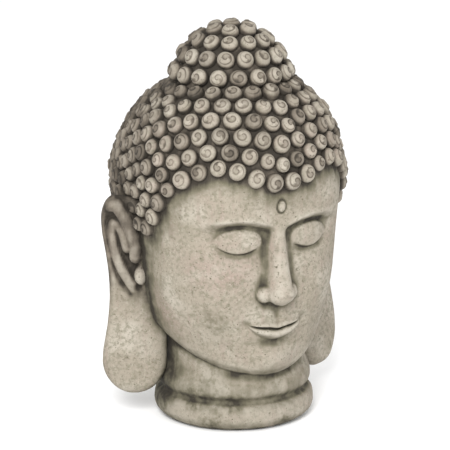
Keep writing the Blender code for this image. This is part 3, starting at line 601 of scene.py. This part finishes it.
def on_scalp(points):
    """The points moved along rays from the middle of the skull until they lie on its bare surface."""
    ray = unit(points - HAIR_CENTRE)
    near, far = np.full(len(ray), 0.02), np.full(len(ray), 0.4)
    for _ in range(18):
        middle = (near + far) / 2
        at = HAIR_CENTRE + ray * middle[:, None]
        angle = np.arctan2(at[:, 0], -at[:, 1])
        height = np.clip(at[:, 2], 0, KNOT_TOP_Z)
        inside = (np.hypot(at[:, 0], at[:, 1]) < head_radius(angle, height)) & (at[:, 2] < KNOT_TOP_Z)
        near, far = np.where(inside, middle, near), np.where(inside, far, middle)
    return HAIR_CENTRE + ray * near[:, None]


def knot_curls():
    """Rings of curls over the topknot, from its top down, and one in the crease round its foot."""
    z = KNOT_TOP_Z - (KNOT_TOP_Z - KNOT_FOOT_Z - 0.9 * CURL_SPACING) * np.linspace(0, 1, 400) ** 2
    reach = knot_profile(z)
    along = np.concatenate([[0], np.cumsum(np.hypot(np.diff(reach), np.diff(z)))])
    count = round(along[-1] / (0.94 * CURL_SPACING))
    wanted = np.arange(count + 1) * along[-1] / count
    radii = np.append(np.interp(wanted, along, reach), KNOT_WIDTH / 2 + 0.25 * CURL_SPACING)
    heights = np.append(np.interp(wanted, along, z), KNOT_FOOT_Z)
    rings = []
    for ring, (radius, height) in enumerate(zip(radii, heights)):
        number = max(1, round(2 * math.pi * radius / (0.94 * CURL_SPACING)))
        turn = (np.arange(number) + 0.5 * (ring % 2)) * 2 * math.pi / number
        x, y = radius * np.sin(turn), KNOT_BACK - radius * np.cos(turn)
        rings.append(np.stack([x, y, 0 * x + height], axis=1))
    return np.concatenate(rings)


def hairline_curls():
    """An even row of curls just over the hairline, all the way round."""
    turn = np.linspace(-math.pi, math.pi, 3000)
    height = hairline_z(turn) + 0.5 * CURL_WIDTH
    reach = head_radius(turn, height)
    line = np.stack([reach * np.sin(turn), -reach * np.cos(turn), height], axis=1)
    along = np.concatenate([[0], np.cumsum(np.linalg.norm(np.diff(line, axis=0), axis=1))])
    number = round(along[-1] / (0.96 * CURL_SPACING))
    wanted = (np.arange(number) + 0.5) * along[-1] / number
    return np.stack([np.interp(wanted, along, line[:, i]) for i in range(3)], axis=1)


def spread_out(free, fixed, steps):
    """Free points pushed apart over the scalp until they pack evenly among the fixed ones."""
    for step in range(steps):
        everyone = np.concatenate([free, fixed])
        gap = free[:, None] - everyone[None]
        distance = np.linalg.norm(gap, axis=2) + 1e-9
        push = np.clip(1 - distance / (1.15 * CURL_SPACING), 0, 1)
        push[np.arange(len(free)), np.arange(len(free))] = 0
        reach = (0.3 - 0.21 * step / steps) * CURL_SPACING
        free = on_scalp(free + reach * (gap / distance[..., None] * push[..., None]).sum(axis=1))
    return free


def curl_centres():
    """Feet of all the curls: fixed rows on the knot and along the hairline, and an even packing between."""
    fixed = np.concatenate([on_scalp(knot_curls()), on_scalp(hairline_curls())])
    i = np.arange(SCALP_TRIALS) + 0.5
    turn = i * math.pi * (1 + 5**0.5)
    up = 1 - 2 * i / SCALP_TRIALS
    level = np.sqrt(1 - up**2)
    scalp = on_scalp(np.stack([level * np.sin(turn), level * np.cos(turn), up], axis=1) + HAIR_CENTRE)
    scalp = scalp[scalp[:, 2] > hairline_z(np.arctan2(scalp[:, 0], -scalp[:, 1])) + 0.8 * CURL_WIDTH]
    free = np.empty((0, 3))
    for _ in range(2):
        room = np.linalg.norm(scalp[:, None] - np.concatenate([free, fixed])[None], axis=2).min(axis=1)
        while room.max() > 0.64 * CURL_SPACING:
            widest = scalp[room.argmax()]
            free = np.concatenate([free, [widest]])
            room = np.minimum(room, np.linalg.norm(scalp - widest, axis=1))
        free = spread_out(free, fixed, PACKING_STEPS)
    return np.concatenate([free, fixed])


def curl_radii(centres):
    """Half-width of each curl, less where its neighbours crowd it."""
    apart = np.linalg.norm(centres[:, None] - centres[None], axis=2) + 1.0 * np.eye(len(centres))
    return np.minimum(CURL_WIDTH / 2, 0.53 * apart.min(axis=1))


def dome_profile():
    """Distance over the dome from its top, half-width and height, down to the foot."""
    reach = np.sin(np.linspace(0, math.pi / 2, 300))
    out = reach * CURL_WIDTH / 2
    up = CURL_HEIGHT * np.sqrt(1 - reach**CURL_POWER)
    return np.concatenate([[0], np.cumsum(np.hypot(np.diff(out), np.diff(up)))]), out, up


def on_dome(turn, over, lift):
    """Points at an angle, at a distance over the dome from its top, and lifted off its surface."""
    along, out, up = dome_profile()
    half = np.interp(over, along, out) - lift * np.interp(over, along, np.gradient(up, along))
    height = np.interp(over, along, up) + lift * np.interp(over, along, np.gradient(out, along))
    return np.stack([half * np.cos(turn), half * np.sin(turn), height], axis=-1)


def read_mark(piece, name):
    values = np.empty(len(piece.data.vertices), np.float32)
    piece.data.attributes[name].data.foreach_get("value", values)
    return values.astype(float)


def select_points(piece, wanted):
    """Leaves the piece in edit mode with just these points selected."""
    bpy.ops.object.mode_set(mode="EDIT")
    bpy.ops.mesh.select_mode(type="VERT")
    bpy.ops.mesh.select_all(action="DESELECT")
    bpy.ops.object.mode_set(mode="OBJECT")
    piece.data.vertices.foreach_set("select", wanted)
    bpy.ops.object.mode_set(mode="EDIT")


def turn_faces_out():
    """Turns every face of the active piece to the outside, and leaves none selected."""
    bpy.ops.object.mode_set(mode="EDIT")
    bpy.ops.mesh.select_all(action="SELECT")
    bpy.ops.mesh.normals_make_consistent(inside=False)
    bpy.ops.mesh.select_all(action="DESELECT")
    bpy.ops.object.mode_set(mode="OBJECT")


def rolled_curl(pitch, depth):
    """One curl: a strip wound over the dome, its turns welded, its heart filled and its rim drawn down."""
    sections = SECTIONS_TO_A_TURN * GROOVE_TURNS
    across = len(SHARES_ACROSS) - 1
    bpy.ops.object.select_all(action="DESELECT")
    bpy.ops.mesh.primitive_grid_add(x_subdivisions=sections, y_subdivisions=across, size=1)
    curl = bpy.context.object
    curl.name = curl.data.name = "rolled_curl"
    strip = coordinates(curl)
    turns = np.round((strip[:, 0] + 0.5) * sections) / SECTIONS_TO_A_TURN
    side = np.round((strip[:, 1] + 0.5) * across).astype(int)
    groove_turn = turns + (side == across)
    in_groove = (side == 0) | (side == across)
    fade = (1 - ramp(GROOVE_TURNS - 1, GROOVE_TURNS - 0.4, groove_turn)) * in_groove
    over = GROOVE_START + pitch * (turns + SHARES_ACROSS[side])
    foot = dome_profile()[0][-1]
    last = turns > GROOVE_TURNS - 1 + 1e-6
    shoulder = last & (side == 2)
    upper = GROOVE_START + pitch * (turns + SHARES_ACROSS[1])
    over = np.where(shoulder, upper + 0.55 * (foot - upper), over)
    over = np.where(last & (side == across), foot, over)
    clockwise = -2 * math.pi * turns
    move_to(curl, on_dome(clockwise, over, 0.2 * MM + 0.9 * MM * shoulder - (0.2 * MM + depth) * fade))
    write_mark(curl, "groove", fade)
    bpy.ops.object.mode_set(mode="EDIT")
    bpy.ops.mesh.select_all(action="SELECT")
    bpy.ops.mesh.remove_doubles(threshold=0.02 * MM)
    bpy.ops.object.mode_set(mode="OBJECT")

    # Where the strip ends, a five-sided face closes the step down to the foot
    x, y, z = coordinates(curl).T
    angle = np.arctan2(-y, x) % (2 * math.pi)
    one_section = 2 * math.pi / SECTIONS_TO_A_TURN
    at_end = np.minimum(angle, 2 * math.pi - angle) < 0.1 * one_section
    under_groove = z < on_dome(0, GROOVE_START + pitch * (GROOVE_TURNS - 0.1), 0)[2]
    next_foot = (np.abs(angle - one_section) < 0.1 * one_section) & (z < 0.3 * MM)
    select_points(curl, (at_end & under_groove) | next_foot)
    bpy.ops.mesh.edge_face_add()
    bpy.ops.object.mode_set(mode="OBJECT")

    # The heart: the open middle is filled and stands up as a small boss
    x, y, z = coordinates(curl).T
    angle = np.arctan2(-y, x) % (2 * math.pi)
    over = np.interp(np.hypot(x, y), dome_profile()[1], dome_profile()[0])
    inner = GROOVE_START + pitch * angle / (2 * math.pi)
    at_end = np.minimum(angle, 2 * math.pi - angle) < 0.1 * one_section
    end_section = at_end & (over < GROOVE_START + 1.05 * pitch)
    select_points(curl, end_section | (over < inner + 0.08 * pitch))
    bpy.ops.mesh.edge_face_add()
    turn_faces_out()
    upper_faces = [face for face in curl.data.polygons if face.center.z > 0.7 * CURL_HEIGHT]
    max(upper_faces, key=lambda face: len(face.vertices)).select = True
    bpy.ops.object.mode_set(mode="EDIT")
    bpy.ops.mesh.select_mode(type="FACE")
    bpy.ops.mesh.inset(thickness=0.7 * MM, depth=depth)

    # The rim: drawn straight down into the scalp and closed underneath
    bpy.ops.object.mode_set(mode="OBJECT")
    select_points(curl, coordinates(curl)[:, 2] < 0.3 * MM)
    bpy.ops.mesh.extrude_region_move(TRANSFORM_OT_translate={"value": (0, 0, -CURL_SINK)})
    bpy.ops.mesh.edge_face_add()
    turn_faces_out()
    marks = read_mark(curl, "groove")
    marks[coordinates(curl)[:, 2] > 0.93 * CURL_HEIGHT] *= 0.3
    curl.data.attributes["groove"].data.foreach_set("value", marks.astype(np.float32))
    rounded = curl.modifiers.new("rounded", "SUBSURF")
    rounded.levels = rounded.render_levels = 1
    bpy.ops.object.modifier_apply(modifier="rounded")
    bpy.ops.object.shade_smooth()
    # How low each point sits on its curl; the lower sides are given painted shade
    write_mark(curl, "low_down", 1 - coordinates(curl)[:, 2] / CURL_HEIGHT)
    return curl


def scalp_normals(centres):
    """Outward normals of the bare scalp, taken over the width of a curl."""
    ray = unit(centres - HAIR_CENTRE)
    aside = unit(np.cross(ray, [0.3, 0.2, 0.93]))
    along = np.cross(ray, aside)
    reach = 0.3 * CURL_WIDTH
    ends = [on_scalp(centres + way * reach) for way in (aside, -aside, along, -along)]
    normal = unit(np.cross(ends[0] - ends[1], ends[2] - ends[3]))
    return normal * np.sign((normal * ray).sum(axis=1, keepdims=True))


def press_on(name, patterns, centres, normals, radii, random):
    """One piece of many curls: a copy of one of the patterns at each place, all joined."""
    bpy.ops.object.select_all(action="DESELECT")
    for centre, normal, radius in zip(centres, normals, radii):
        pattern = patterns[random.integers(len(patterns))]
        shape = coordinates(pattern)
        copy = pattern.copy()
        copy.data = pattern.data.copy()
        bpy.context.scene.collection.objects.link(copy)
        lean = Vector(normal + random.normal(0, 0.05, 3)).normalized()
        turned = np.array(lean.to_track_quat("Z", "Y").to_matrix())
        spin = random.uniform(0, 2 * math.pi)
        cosine, sine = math.cos(spin), math.sin(spin)
        about = np.array([[cosine, -sine, 0], [sine, cosine, 0], [0, 0, 1]])
        size = radius / (CURL_WIDTH / 2) * np.array([1, random.uniform(0.93, 1.0), random.uniform(0.93, 1.0)])
        move_to(copy, (shape * size) @ about.T @ turned.T + centre)
        write_mark(copy, "dirt", np.full(len(shape), random.uniform(0, 1) ** 2))
        copy.select_set(True)
        bpy.context.view_layer.objects.active = copy
    bpy.ops.object.join()
    joined = bpy.context.object
    joined.name = joined.data.name = name
    move_to(joined, hand_worn(coordinates(joined), normals_of(joined), 0.4 * MM))
    return joined


centres = curl_centres()
normals = scalp_normals(centres)
radii = curl_radii(centres)
random = np.random.default_rng(11)
patterns = [rolled_curl(pitch, depth) for pitch, depth in GROOVES]
on_knot = centres[:, 2] > KNOT_FOOT_Z - 1 * MM
in_front = centres[:, 1] < 0
all_curls = [
    press_on(name, patterns, centres[which], normals[which], radii[which], random)
    for name, which in (
        ("front_curls", ~on_knot & in_front),
        ("back_curls", ~on_knot & ~in_front),
        ("topknot_curls", on_knot),
    )
]
for pattern in patterns:
    bpy.data.objects.remove(pattern)
for curls in all_curls:
    curls.data.materials.append(head.data.materials[0])
    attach(curls, "root")
    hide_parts("buddha_head")


# The ears: one long ear on each side, from the temple to the neck, with a heavy lobe as if drawn down by old
# earrings. They are part of the casting. Each is a ball drawn out along its sections, with the rims, hollows
# and bead carved on.
EAR_TOP_Z = 285 * MM
EAR_LENGTH = 251 * MM
EAR_WIDTH = 70 * MM
EAR_THICKNESS = 20 * MM
EAR_TILT_OUT = math.radians(54)
LOBE_TILT_OUT = math.radians(64)
EAR_ROOT_X = 103 * MM
EAR_ROOT_Y = 8 * MM
LOBE_THICKNESS = 30 * MM
HELIX_THICKNESS = 12 * MM
EAR_RIM = ((0.74, 0.02), (0.93, 0.08), (0.93, 0.18), (0.81, 0.35), (0.75, 0.52))
EAR_ARM = ((0.82, 0.045), (0.66, 0.05), (0.46, 0.14), (0.35, 0.23), (0.34, 0.3))
EAR_INNER_RIM = ((0.5, 0.26), (0.61, 0.165), (0.74, 0.135), (0.78, 0.2), (0.65, 0.34), (0.38, 0.465))
EAR_GROOVE = ((0.68, 0.11), (0.84, 0.135), (0.81, 0.26), (0.68, 0.385), (0.46, 0.49))
EAR_HOLLOW = ((0.68, 0.2), (0.53, 0.31), (0.42, 0.42))
EAR_OUTER_EDGE = (
    (0, 0.97), (0.17, 0.97), (0.27, 0.92), (0.38, 0.86), (0.5, 0.83), (0.62, 0.86), (0.8, 0.96), (1.01, 0.96),
)
EAR_INNER_EDGE = ((0, -0.1), (0.5, -0.12), (0.68, -0.18), (0.8, -0.18), (1.01, -0.16))
EAR_BEAD_AT = (127 * MM, 4 * MM, 186 * MM)
EAR_COLUMNS = 152
EAR_ROWS = 190


def away_from(line, across, z):
    """Distance from each point of the ear's face to a smooth curve through the knots of a carved line."""
    knots = np.array(line)
    at = np.arange(len(knots))
    wanted = np.linspace(0, len(knots) - 1, 60)
    curve_across = EAR_WIDTH * through(list(zip(at, knots[:, 0])), wanted)
    curve_z = EAR_TOP_Z - EAR_LENGTH * through(list(zip(at, knots[:, 1])), wanted)
    return np.hypot(across[..., None] - curve_across, z[..., None] - curve_z).min(axis=-1)


def roll(distance, half_width, height, foot):
    """A round moulding that stands on the level foot and slopes away outside its width."""
    round_top = height * np.sqrt(np.clip(1 - (distance / half_width) ** 2, 0, 1))
    return foot + round_top - 1.8 * np.clip(distance - half_width, 0, None)


def ear_face(across, z):
    """Carving on the front of the ear: rims, hollows, the bead before the canal, and a full lobe."""
    share = (EAR_TOP_Z - z) / EAR_LENGTH
    lobe = ramp(0.42, 0.8, share)
    face = 7 * MM + 6 * MM * lobe
    face = face - 13 * MM * bump(away_from(EAR_HOLLOW, across, z), 11 * MM)
    ending = ramp(0.36, 0.48, share)
    face = face - (5 - 2 * ending) * MM * bump(away_from(EAR_GROOVE, across, z), 4.2 * MM)
    rim = bump(away_from(EAR_RIM, across, z), 6 * MM)
    face = np.maximum(face, 4 * MM * rim) + 8 * MM * rim * (1 - ramp(0.36, 0.52, share))
    inner = roll(away_from(EAR_INNER_RIM, across, z), 7 * MM, (7.5 - 4 * ending) * MM, 5 * MM)
    arm = roll(away_from(EAR_ARM, across, z), (9.5 - ramp(0.08, 0.28, share)) * MM, HELIX_THICKNESS, 6 * MM)
    face = smooth_max(smooth_max(face, inner, 3 * MM), arm, 2 * MM)
    bead = ellipse(across, share, 0.26 * EAR_WIDTH, 0.395, 0.12 * EAR_WIDTH, 0.05)
    face = smooth_max(face, 5 * MM + cap(bead, 12 * MM), 1.4 * MM)
    pit = ellipse(across, share, 0.31 * EAR_WIDTH, 0.457, 0.05 * EAR_WIDTH, 0.014)
    return face - 6 * MM * bump(pit, 1)


def ear_edges(z):
    """(inner edge, outer edge) of the ear at a height, measured across it from its root in the head."""
    share = (EAR_TOP_Z - z) / EAR_LENGTH
    outer, inner = through(EAR_OUTER_EDGE, share), through(EAR_INNER_EDGE, share)
    top = np.sqrt(np.clip(1 - np.clip(1 - share / 0.12, 0, 1) ** 2, 0, 1))
    end = np.sqrt(np.clip(1 - np.clip(1 - (1 - share) / 0.175, 0, 1) ** 2, 0, 1))
    middle = np.where(share < 0.5, 0.73, 0.4)
    return tuple(EAR_WIDTH * (middle + (edge - middle) * top * end) for edge in (inner, outer))


def ear_points():
    """Rings of points round the ear's sections, from the lobe's end up: across, outward and height."""
    share = (1 + np.cos(np.linspace(0.03, 0.985, EAR_ROWS) * math.pi))[:, None] / 2
    z = EAR_TOP_Z - EAR_LENGTH * share
    inner, outer = ear_edges(z)
    turn = np.arange(EAR_COLUMNS) * 2 * math.pi / EAR_COLUMNS
    run = np.cos(turn)
    across = (inner + outer) / 2 + (outer - inner) / 2 * run
    to_end, to_top = np.clip((1 - share) / 0.06, 0, 1), np.clip(share / 0.04, 0, 1)
    rounding = np.sqrt((1 - run**4) * to_end * (2 - to_end) * to_top * (2 - to_top))
    front = ear_face(across, z + 0 * across)
    back = -(EAR_THICKNESS + (LOBE_THICKNESS - EAR_THICKNESS) * ramp(0.5, 0.8, share)) / 2
    out = np.where(np.sin(turn) > 0, front, back) * rounding
    return np.stack([across, -out, z + 0 * across], axis=2)


def ear_grid(side):
    """Grid of one ear beside the head, its lobe flared more than its top; side is -1 on its right."""
    across, ahead, z = np.moveaxis(ear_points(), 2, 0)
    lower = ramp(0.3, 0.7, (EAR_TOP_Z - z) / EAR_LENGTH)
    tilt = EAR_TILT_OUT + (LOBE_TILT_OUT - EAR_TILT_OUT) * lower
    x = EAR_ROOT_X + across * np.sin(tilt) - ahead * np.cos(tilt)
    y = EAR_ROOT_Y + across * np.cos(tilt) + ahead * np.sin(tilt)
    points = np.stack([side * x, y, z], axis=2)
    return points if side > 0 else points[:, ::-1]


def carved_ear(name, side):
    """One ear as a closed ball drawn out over the rings of its grid."""
    ear, ring, column = ball_of(name, EAR_COLUMNS, EAR_ROWS + 1)
    grid = ear_grid(side)
    points = grid[np.clip(ring - 1, 0, EAR_ROWS - 1), column]
    points[ring == 0] = grid[0].mean(axis=0)
    points[ring == ring.max()] = grid[-1].mean(axis=0)
    move_to(ear, points)
    turn_faces_out()
    move_to(ear, hand_worn(points, normals_of(ear), 0.35 * MM))
    bpy.ops.object.shade_smooth()

    # The hollows of its carved face, which is turned over on the figure's right
    levels = np.arange(EAR_TOP_Z - EAR_LENGTH, EAR_TOP_Z, 1 * MM)
    widths = np.arange(-0.2, 1.0, 0.015) * EAR_WIDTH
    relief = ear_face(*np.meshgrid(widths, levels))
    across, ahead, z = np.moveaxis(ear_points(), 2, 0)
    across, ahead = (across, ahead) if side > 0 else (across[:, ::-1], ahead[:, ::-1])
    row = np.clip(ring - 1, 0, EAR_ROWS - 1)
    mark_hollows(ear, relief, levels, widths, z[row, 0 * column], across[row, column], ahead[row, column] < 0)
    return ear


ears = [carved_ear("right_ear", -1), carved_ear("left_ear", 1)]
for ear in ears:
    ear.data.materials.append(head.data.materials[0])
    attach(ear, "root")
    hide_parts("buddha_head")


# The dark wash and painted shade: the finished casting is brushed with dark earth colour and wiped, so the
# wash stays in hollows, and the same mark also paints shade into hollows, undersides, curl feet and the ears'
# outer edges. Marks on
# each piece say where: wash and shade from how shut in a point is, rubbed wash from how far it stands out,
# stains and one painted shadow round a few places, and browner wash on the hair.
# Reach and number of the rays that find how shut in each point is, for the wash and painted shade
WASH_AND_SHADE_REACH = 42 * MM
WASH_AND_SHADE_RAYS = 14
# Stains on the face, neck and base; the one at (-95, 14, 32) is a painted shadow of the right lobe on the
# neck
STAINS_AND_SHADOW_IN_MM = (
    ((-71, -87, 146), 24), ((-95, 14, 32), 42), ((-84, -54, 40), 26),
    ((-45, -88, 37), 20), ((-66, -74, 12), 26), ((20, -98, 8), 18),
)


def shut_in(piece, everything):
    """How much of the way out from each point is blocked within reach, near things counting most."""
    points, normals = coordinates(piece), normals_of(piece)
    turn = np.arange(WASH_AND_SHADE_RAYS) * math.pi * (3 - 5**0.5)
    up = np.sqrt(1 - (np.arange(WASH_AND_SHADE_RAYS) + 0.5) / WASH_AND_SHADE_RAYS)
    out = np.sqrt(1 - up**2)
    ways = np.stack([out * np.cos(turn), out * np.sin(turn), up], axis=1)
    blocked = np.zeros(len(points))
    for index, (point, normal) in enumerate(zip(points, normals)):
        start = Vector(point + 0.3 * MM * normal)
        frame_of = Vector(normal).to_track_quat("Z", "Y").to_matrix()
        for way in ways:
            hit = everything.ray_cast(start, frame_of @ Vector(way), WASH_AND_SHADE_REACH)
            if hit[0] is not None:
                blocked[index] += (1 - hit[3] / WASH_AND_SHADE_REACH) / WASH_AND_SHADE_RAYS
    return blocked


def averaged(piece, values, steps):
    """The values, each mixed a number of times with those at the other ends of its edges."""
    edges = np.empty(2 * len(piece.data.edges), np.int32)
    piece.data.edges.foreach_get("vertices", edges)
    one, other = edges.reshape(-1, 2).T
    count = np.bincount(one, minlength=len(values)) + np.bincount(other, minlength=len(values)) + 1
    for _ in range(steps):
        from_one = np.bincount(other, values[one], len(values))
        from_other = np.bincount(one, values[other], len(values))
        values = (values + from_other + from_one) / count
    return values


def tree_of(pieces):
    """One search tree over the faces of several pieces."""
    corners, faces = [], []
    for piece in pieces:
        faces += [[corner + len(corners) for corner in face.vertices] for face in piece.data.polygons]
        corners += [vertex.co.copy() for vertex in piece.data.vertices]
    return BVHTree.FromPolygons(corners, faces)


def close_to(piece, others, reach):
    """1 where the piece meets the others, and 0 from a reach away."""
    found = [others.find_nearest(point, reach)[3] for point in map(Vector, coordinates(piece))]
    return np.array([0 if gap is None else 1 - gap / reach for gap in found])


everything = tree_of((head, *ears, *all_curls))
round_head, round_ears = tree_of((*ears, *all_curls)), tree_of((head, *all_curls))
for piece in (head, *ears, *all_curls):
    x, y, z = coordinates(piece).T
    hair = np.ones(len(x))
    blocked = averaged(piece, shut_in(piece, everything), 3)
    if piece in all_curls:
        groove, low_down = read_mark(piece, "groove"), read_mark(piece, "low_down")
        # Dark wash and painted shade where a curl is shut in, along its spiral groove and down its lower side
        wash_and_shade = 0.1 + 0.9 * ramp(0.22, 0.8, blocked) + 0.55 * groove + 0.75 * ramp(0.4, 0.92, low_down)
        # Random dirt on each curl, and darker towards the back of the head
        wash_and_shade = wash_and_shade + 0.32 * read_mark(piece, "dirt") + 0.3 * ramp(-50 * MM, 80 * MM, y)
        # Painted shade in the crease round the foot of the topknot
        wash_and_shade = wash_and_shade + 0.3 * bump(z - KNOT_FOOT_Z - 4 * MM, 9 * MM) * ramp(100 * MM, 88 * MM, np.hypot(x, y))
        stands_out = 0.6 * ramp(0.3, 0.08, blocked) * (1 - groove)
    else:
        dip, basin = read_mark(piece, "dip"), read_mark(piece, "basin")
        others = round_head if piece is head else round_ears
        beside = averaged(piece, close_to(piece, others, 34 * MM), 2)
        # Dark wash and painted shade in the carved hollows and where a point is shut in
        wash_and_shade = 0.75 * ramp(0.1, 0.85, blocked) + 0.35 * ramp(0.3, 2.4, dip) + 0.62 * ramp(0.1, 4.2, basin)
        # Darker beside the other pieces, as grime and painted shade where they meet, and painted shade on
        # faces turned down
        wash_and_shade = wash_and_shade + 0.5 * beside**1.6 + 0.5 * beside**5 + 0.3 * ramp(0, 0.8, -normals_of(piece)[:, 2])
        stands_out = 0.5 * ramp(0.1, 0.9, -dip) + 0.5 * ramp(0.2, 2.5, -basin)
        wash_and_shade = wash_and_shade * (1 - 0.6 * ramp(0.2, 1.4, -dip))
        if piece is head:
            over_hairline = z - hairline_z(np.arctan2(x, -y))
            hair = ramp(-4 * MM, 4 * MM, over_hairline)
            # The head darker near the ears, and the neck darker, partly painted shade under the chin and
            # partly dirt
            near_ear = averaged(head, close_to(head, tree_of(ears), 50 * MM), 2)
            on_neck = ramp(76 * MM, 60 * MM, z) * (1 - 0.75 * ramp(34 * MM, 22 * MM, z))
            wash_and_shade = wash_and_shade + 0.06 + 0.26 * on_neck + 0.42 * near_ear
            wash_and_shade = np.minimum(wash_and_shade, 0.7 + 0.3 * ramp(50 * MM, 62 * MM, z))
            # Dark wash and painted shade in the ring round the urna; the bead itself clean and rubbed
            bead = ellipse(x, z, 0, URNA_Z, URNA_WIDTH / 2, URNA_HEIGHT / 2) + (y > 0)
            wash_and_shade = (wash_and_shade + 0.42 * bump(bead - 1.2, 0.18)) * ramp(0.7, 1, bead)
            stands_out = stands_out + ramp(1, 0.8, bead)
            # The scalp under the curls is painted fully dark, as shadow between the curls and wash
            wash_and_shade = np.maximum(wash_and_shade, ramp(-1 * MM, 5 * MM, over_hairline))
        else:
            upper = hair = ramp(110 * MM, 200 * MM, z)
            out, back = np.abs(x) - EAR_ROOT_X, y - EAR_ROOT_Y
            across = out * math.sin(EAR_TILT_OUT) + back * math.cos(EAR_TILT_OUT)
            outer = ramp(0.7 * EAR_WIDTH, 0.9 * EAR_WIDTH, across)
            # Darker and browner over the upper ear, and painted shade along each ear's outer edge, as on a
            # side turned from the light
            wash_and_shade = (0.5 + 0.3 * upper) * wash_and_shade + 0.3 * upper + (0.14 + 0.3 * upper) * outer
            stands_out = stands_out * (1 - outer)
            from_bead = np.linalg.norm(np.stack([np.abs(x), y, z], axis=1) - EAR_BEAD_AT, axis=1)
            wash_and_shade = wash_and_shade * (1 - 0.7 * ramp(16 * MM, 9 * MM, from_bead))
    # Stains round a few places, one of them a painted shadow of the right lobe
    stain_and_shadow = 0 * x
    for place, reach in STAINS_AND_SHADOW_IN_MM:
        away = np.linalg.norm(coordinates(piece) / MM - place, axis=1)
        stain_and_shadow = np.maximum(stain_and_shadow, 1 - ramp(0.3 * reach, reach, away))
    for name, values in (("wash_and_shade", wash_and_shade), ("rubbed", stands_out), ("stain_and_shadow", stain_and_shadow), ("hair", hair)):
        write_mark(piece, name, np.clip(values, 0, 1))


# The stage: a pale floor, a big soft light in front on the figure's right, a weaker one on its left, and the
# camera 27 degrees to the figure's right and 14 degrees up, where the photograph was taken from.
bpy.ops.object.select_all(action="DESELECT")
bpy.ops.mesh.primitive_plane_add(size=14)
floor = bpy.context.object
floor.name = "floor"
pale = bpy.data.materials.new("pale_floor")
pale.use_nodes = True
surface = pale.node_tree.nodes["Principled BSDF"].inputs
surface["Base Color"].default_value = (0.96, 0.96, 0.96, 1)
surface["Roughness"].default_value = 0.9
floor.data.materials.append(pale)

world = bpy.data.worlds.new("pale_room")
bpy.context.scene.world = world
world.use_nodes = True
daylight = world.node_tree.nodes["Background"].inputs
daylight["Color"].default_value = (1, 1, 1, 1)
daylight["Strength"].default_value = 1.06
bpy.context.scene.view_settings.view_transform = "Standard"


LIT_POINT = Vector((0, 0, 0.25))


def soft_light(name, place, size, watts):
    lamp = bpy.data.lights.new(name, "AREA")
    lamp.shape = "DISK"
    lamp.size = size
    lamp.energy = watts
    light = bpy.data.objects.new(name, lamp)
    bpy.context.scene.collection.objects.link(light)
    light.location = place
    light.rotation_euler = (LIT_POINT - Vector(place)).to_track_quat("-Z", "Y").to_euler()


soft_light("front_light", (-1.15, -1.55, 1.35), 0.9, 49)
soft_light("side_light", (1.2, -1.5, 0.7), 1.3, 7)

CAMERA_AZIMUTH, CAMERA_ELEVATION, CAMERA_DISTANCE = math.radians(-27), math.radians(14), 2.75
SEEN_WIDTH = 0.559
target = Vector((-0.011 * math.cos(CAMERA_AZIMUTH), -0.011 * math.sin(CAMERA_AZIMUTH), 0.2388))
back = Vector((
    math.sin(CAMERA_AZIMUTH) * math.cos(CAMERA_ELEVATION),
    -math.cos(CAMERA_AZIMUTH) * math.cos(CAMERA_ELEVATION),
    math.sin(CAMERA_ELEVATION),
))
lens = bpy.data.cameras.new("camera")
lens.sensor_width = 36
lens.lens = lens.sensor_width / SEEN_WIDTH * CAMERA_DISTANCE
camera = bpy.data.objects.new("camera", lens)
bpy.context.scene.collection.objects.link(camera)
camera.location = target + back * CAMERA_DISTANCE
camera.rotation_euler = (-back).to_track_quat("-Z", "Y").to_euler()
bpy.context.scene.camera = camera
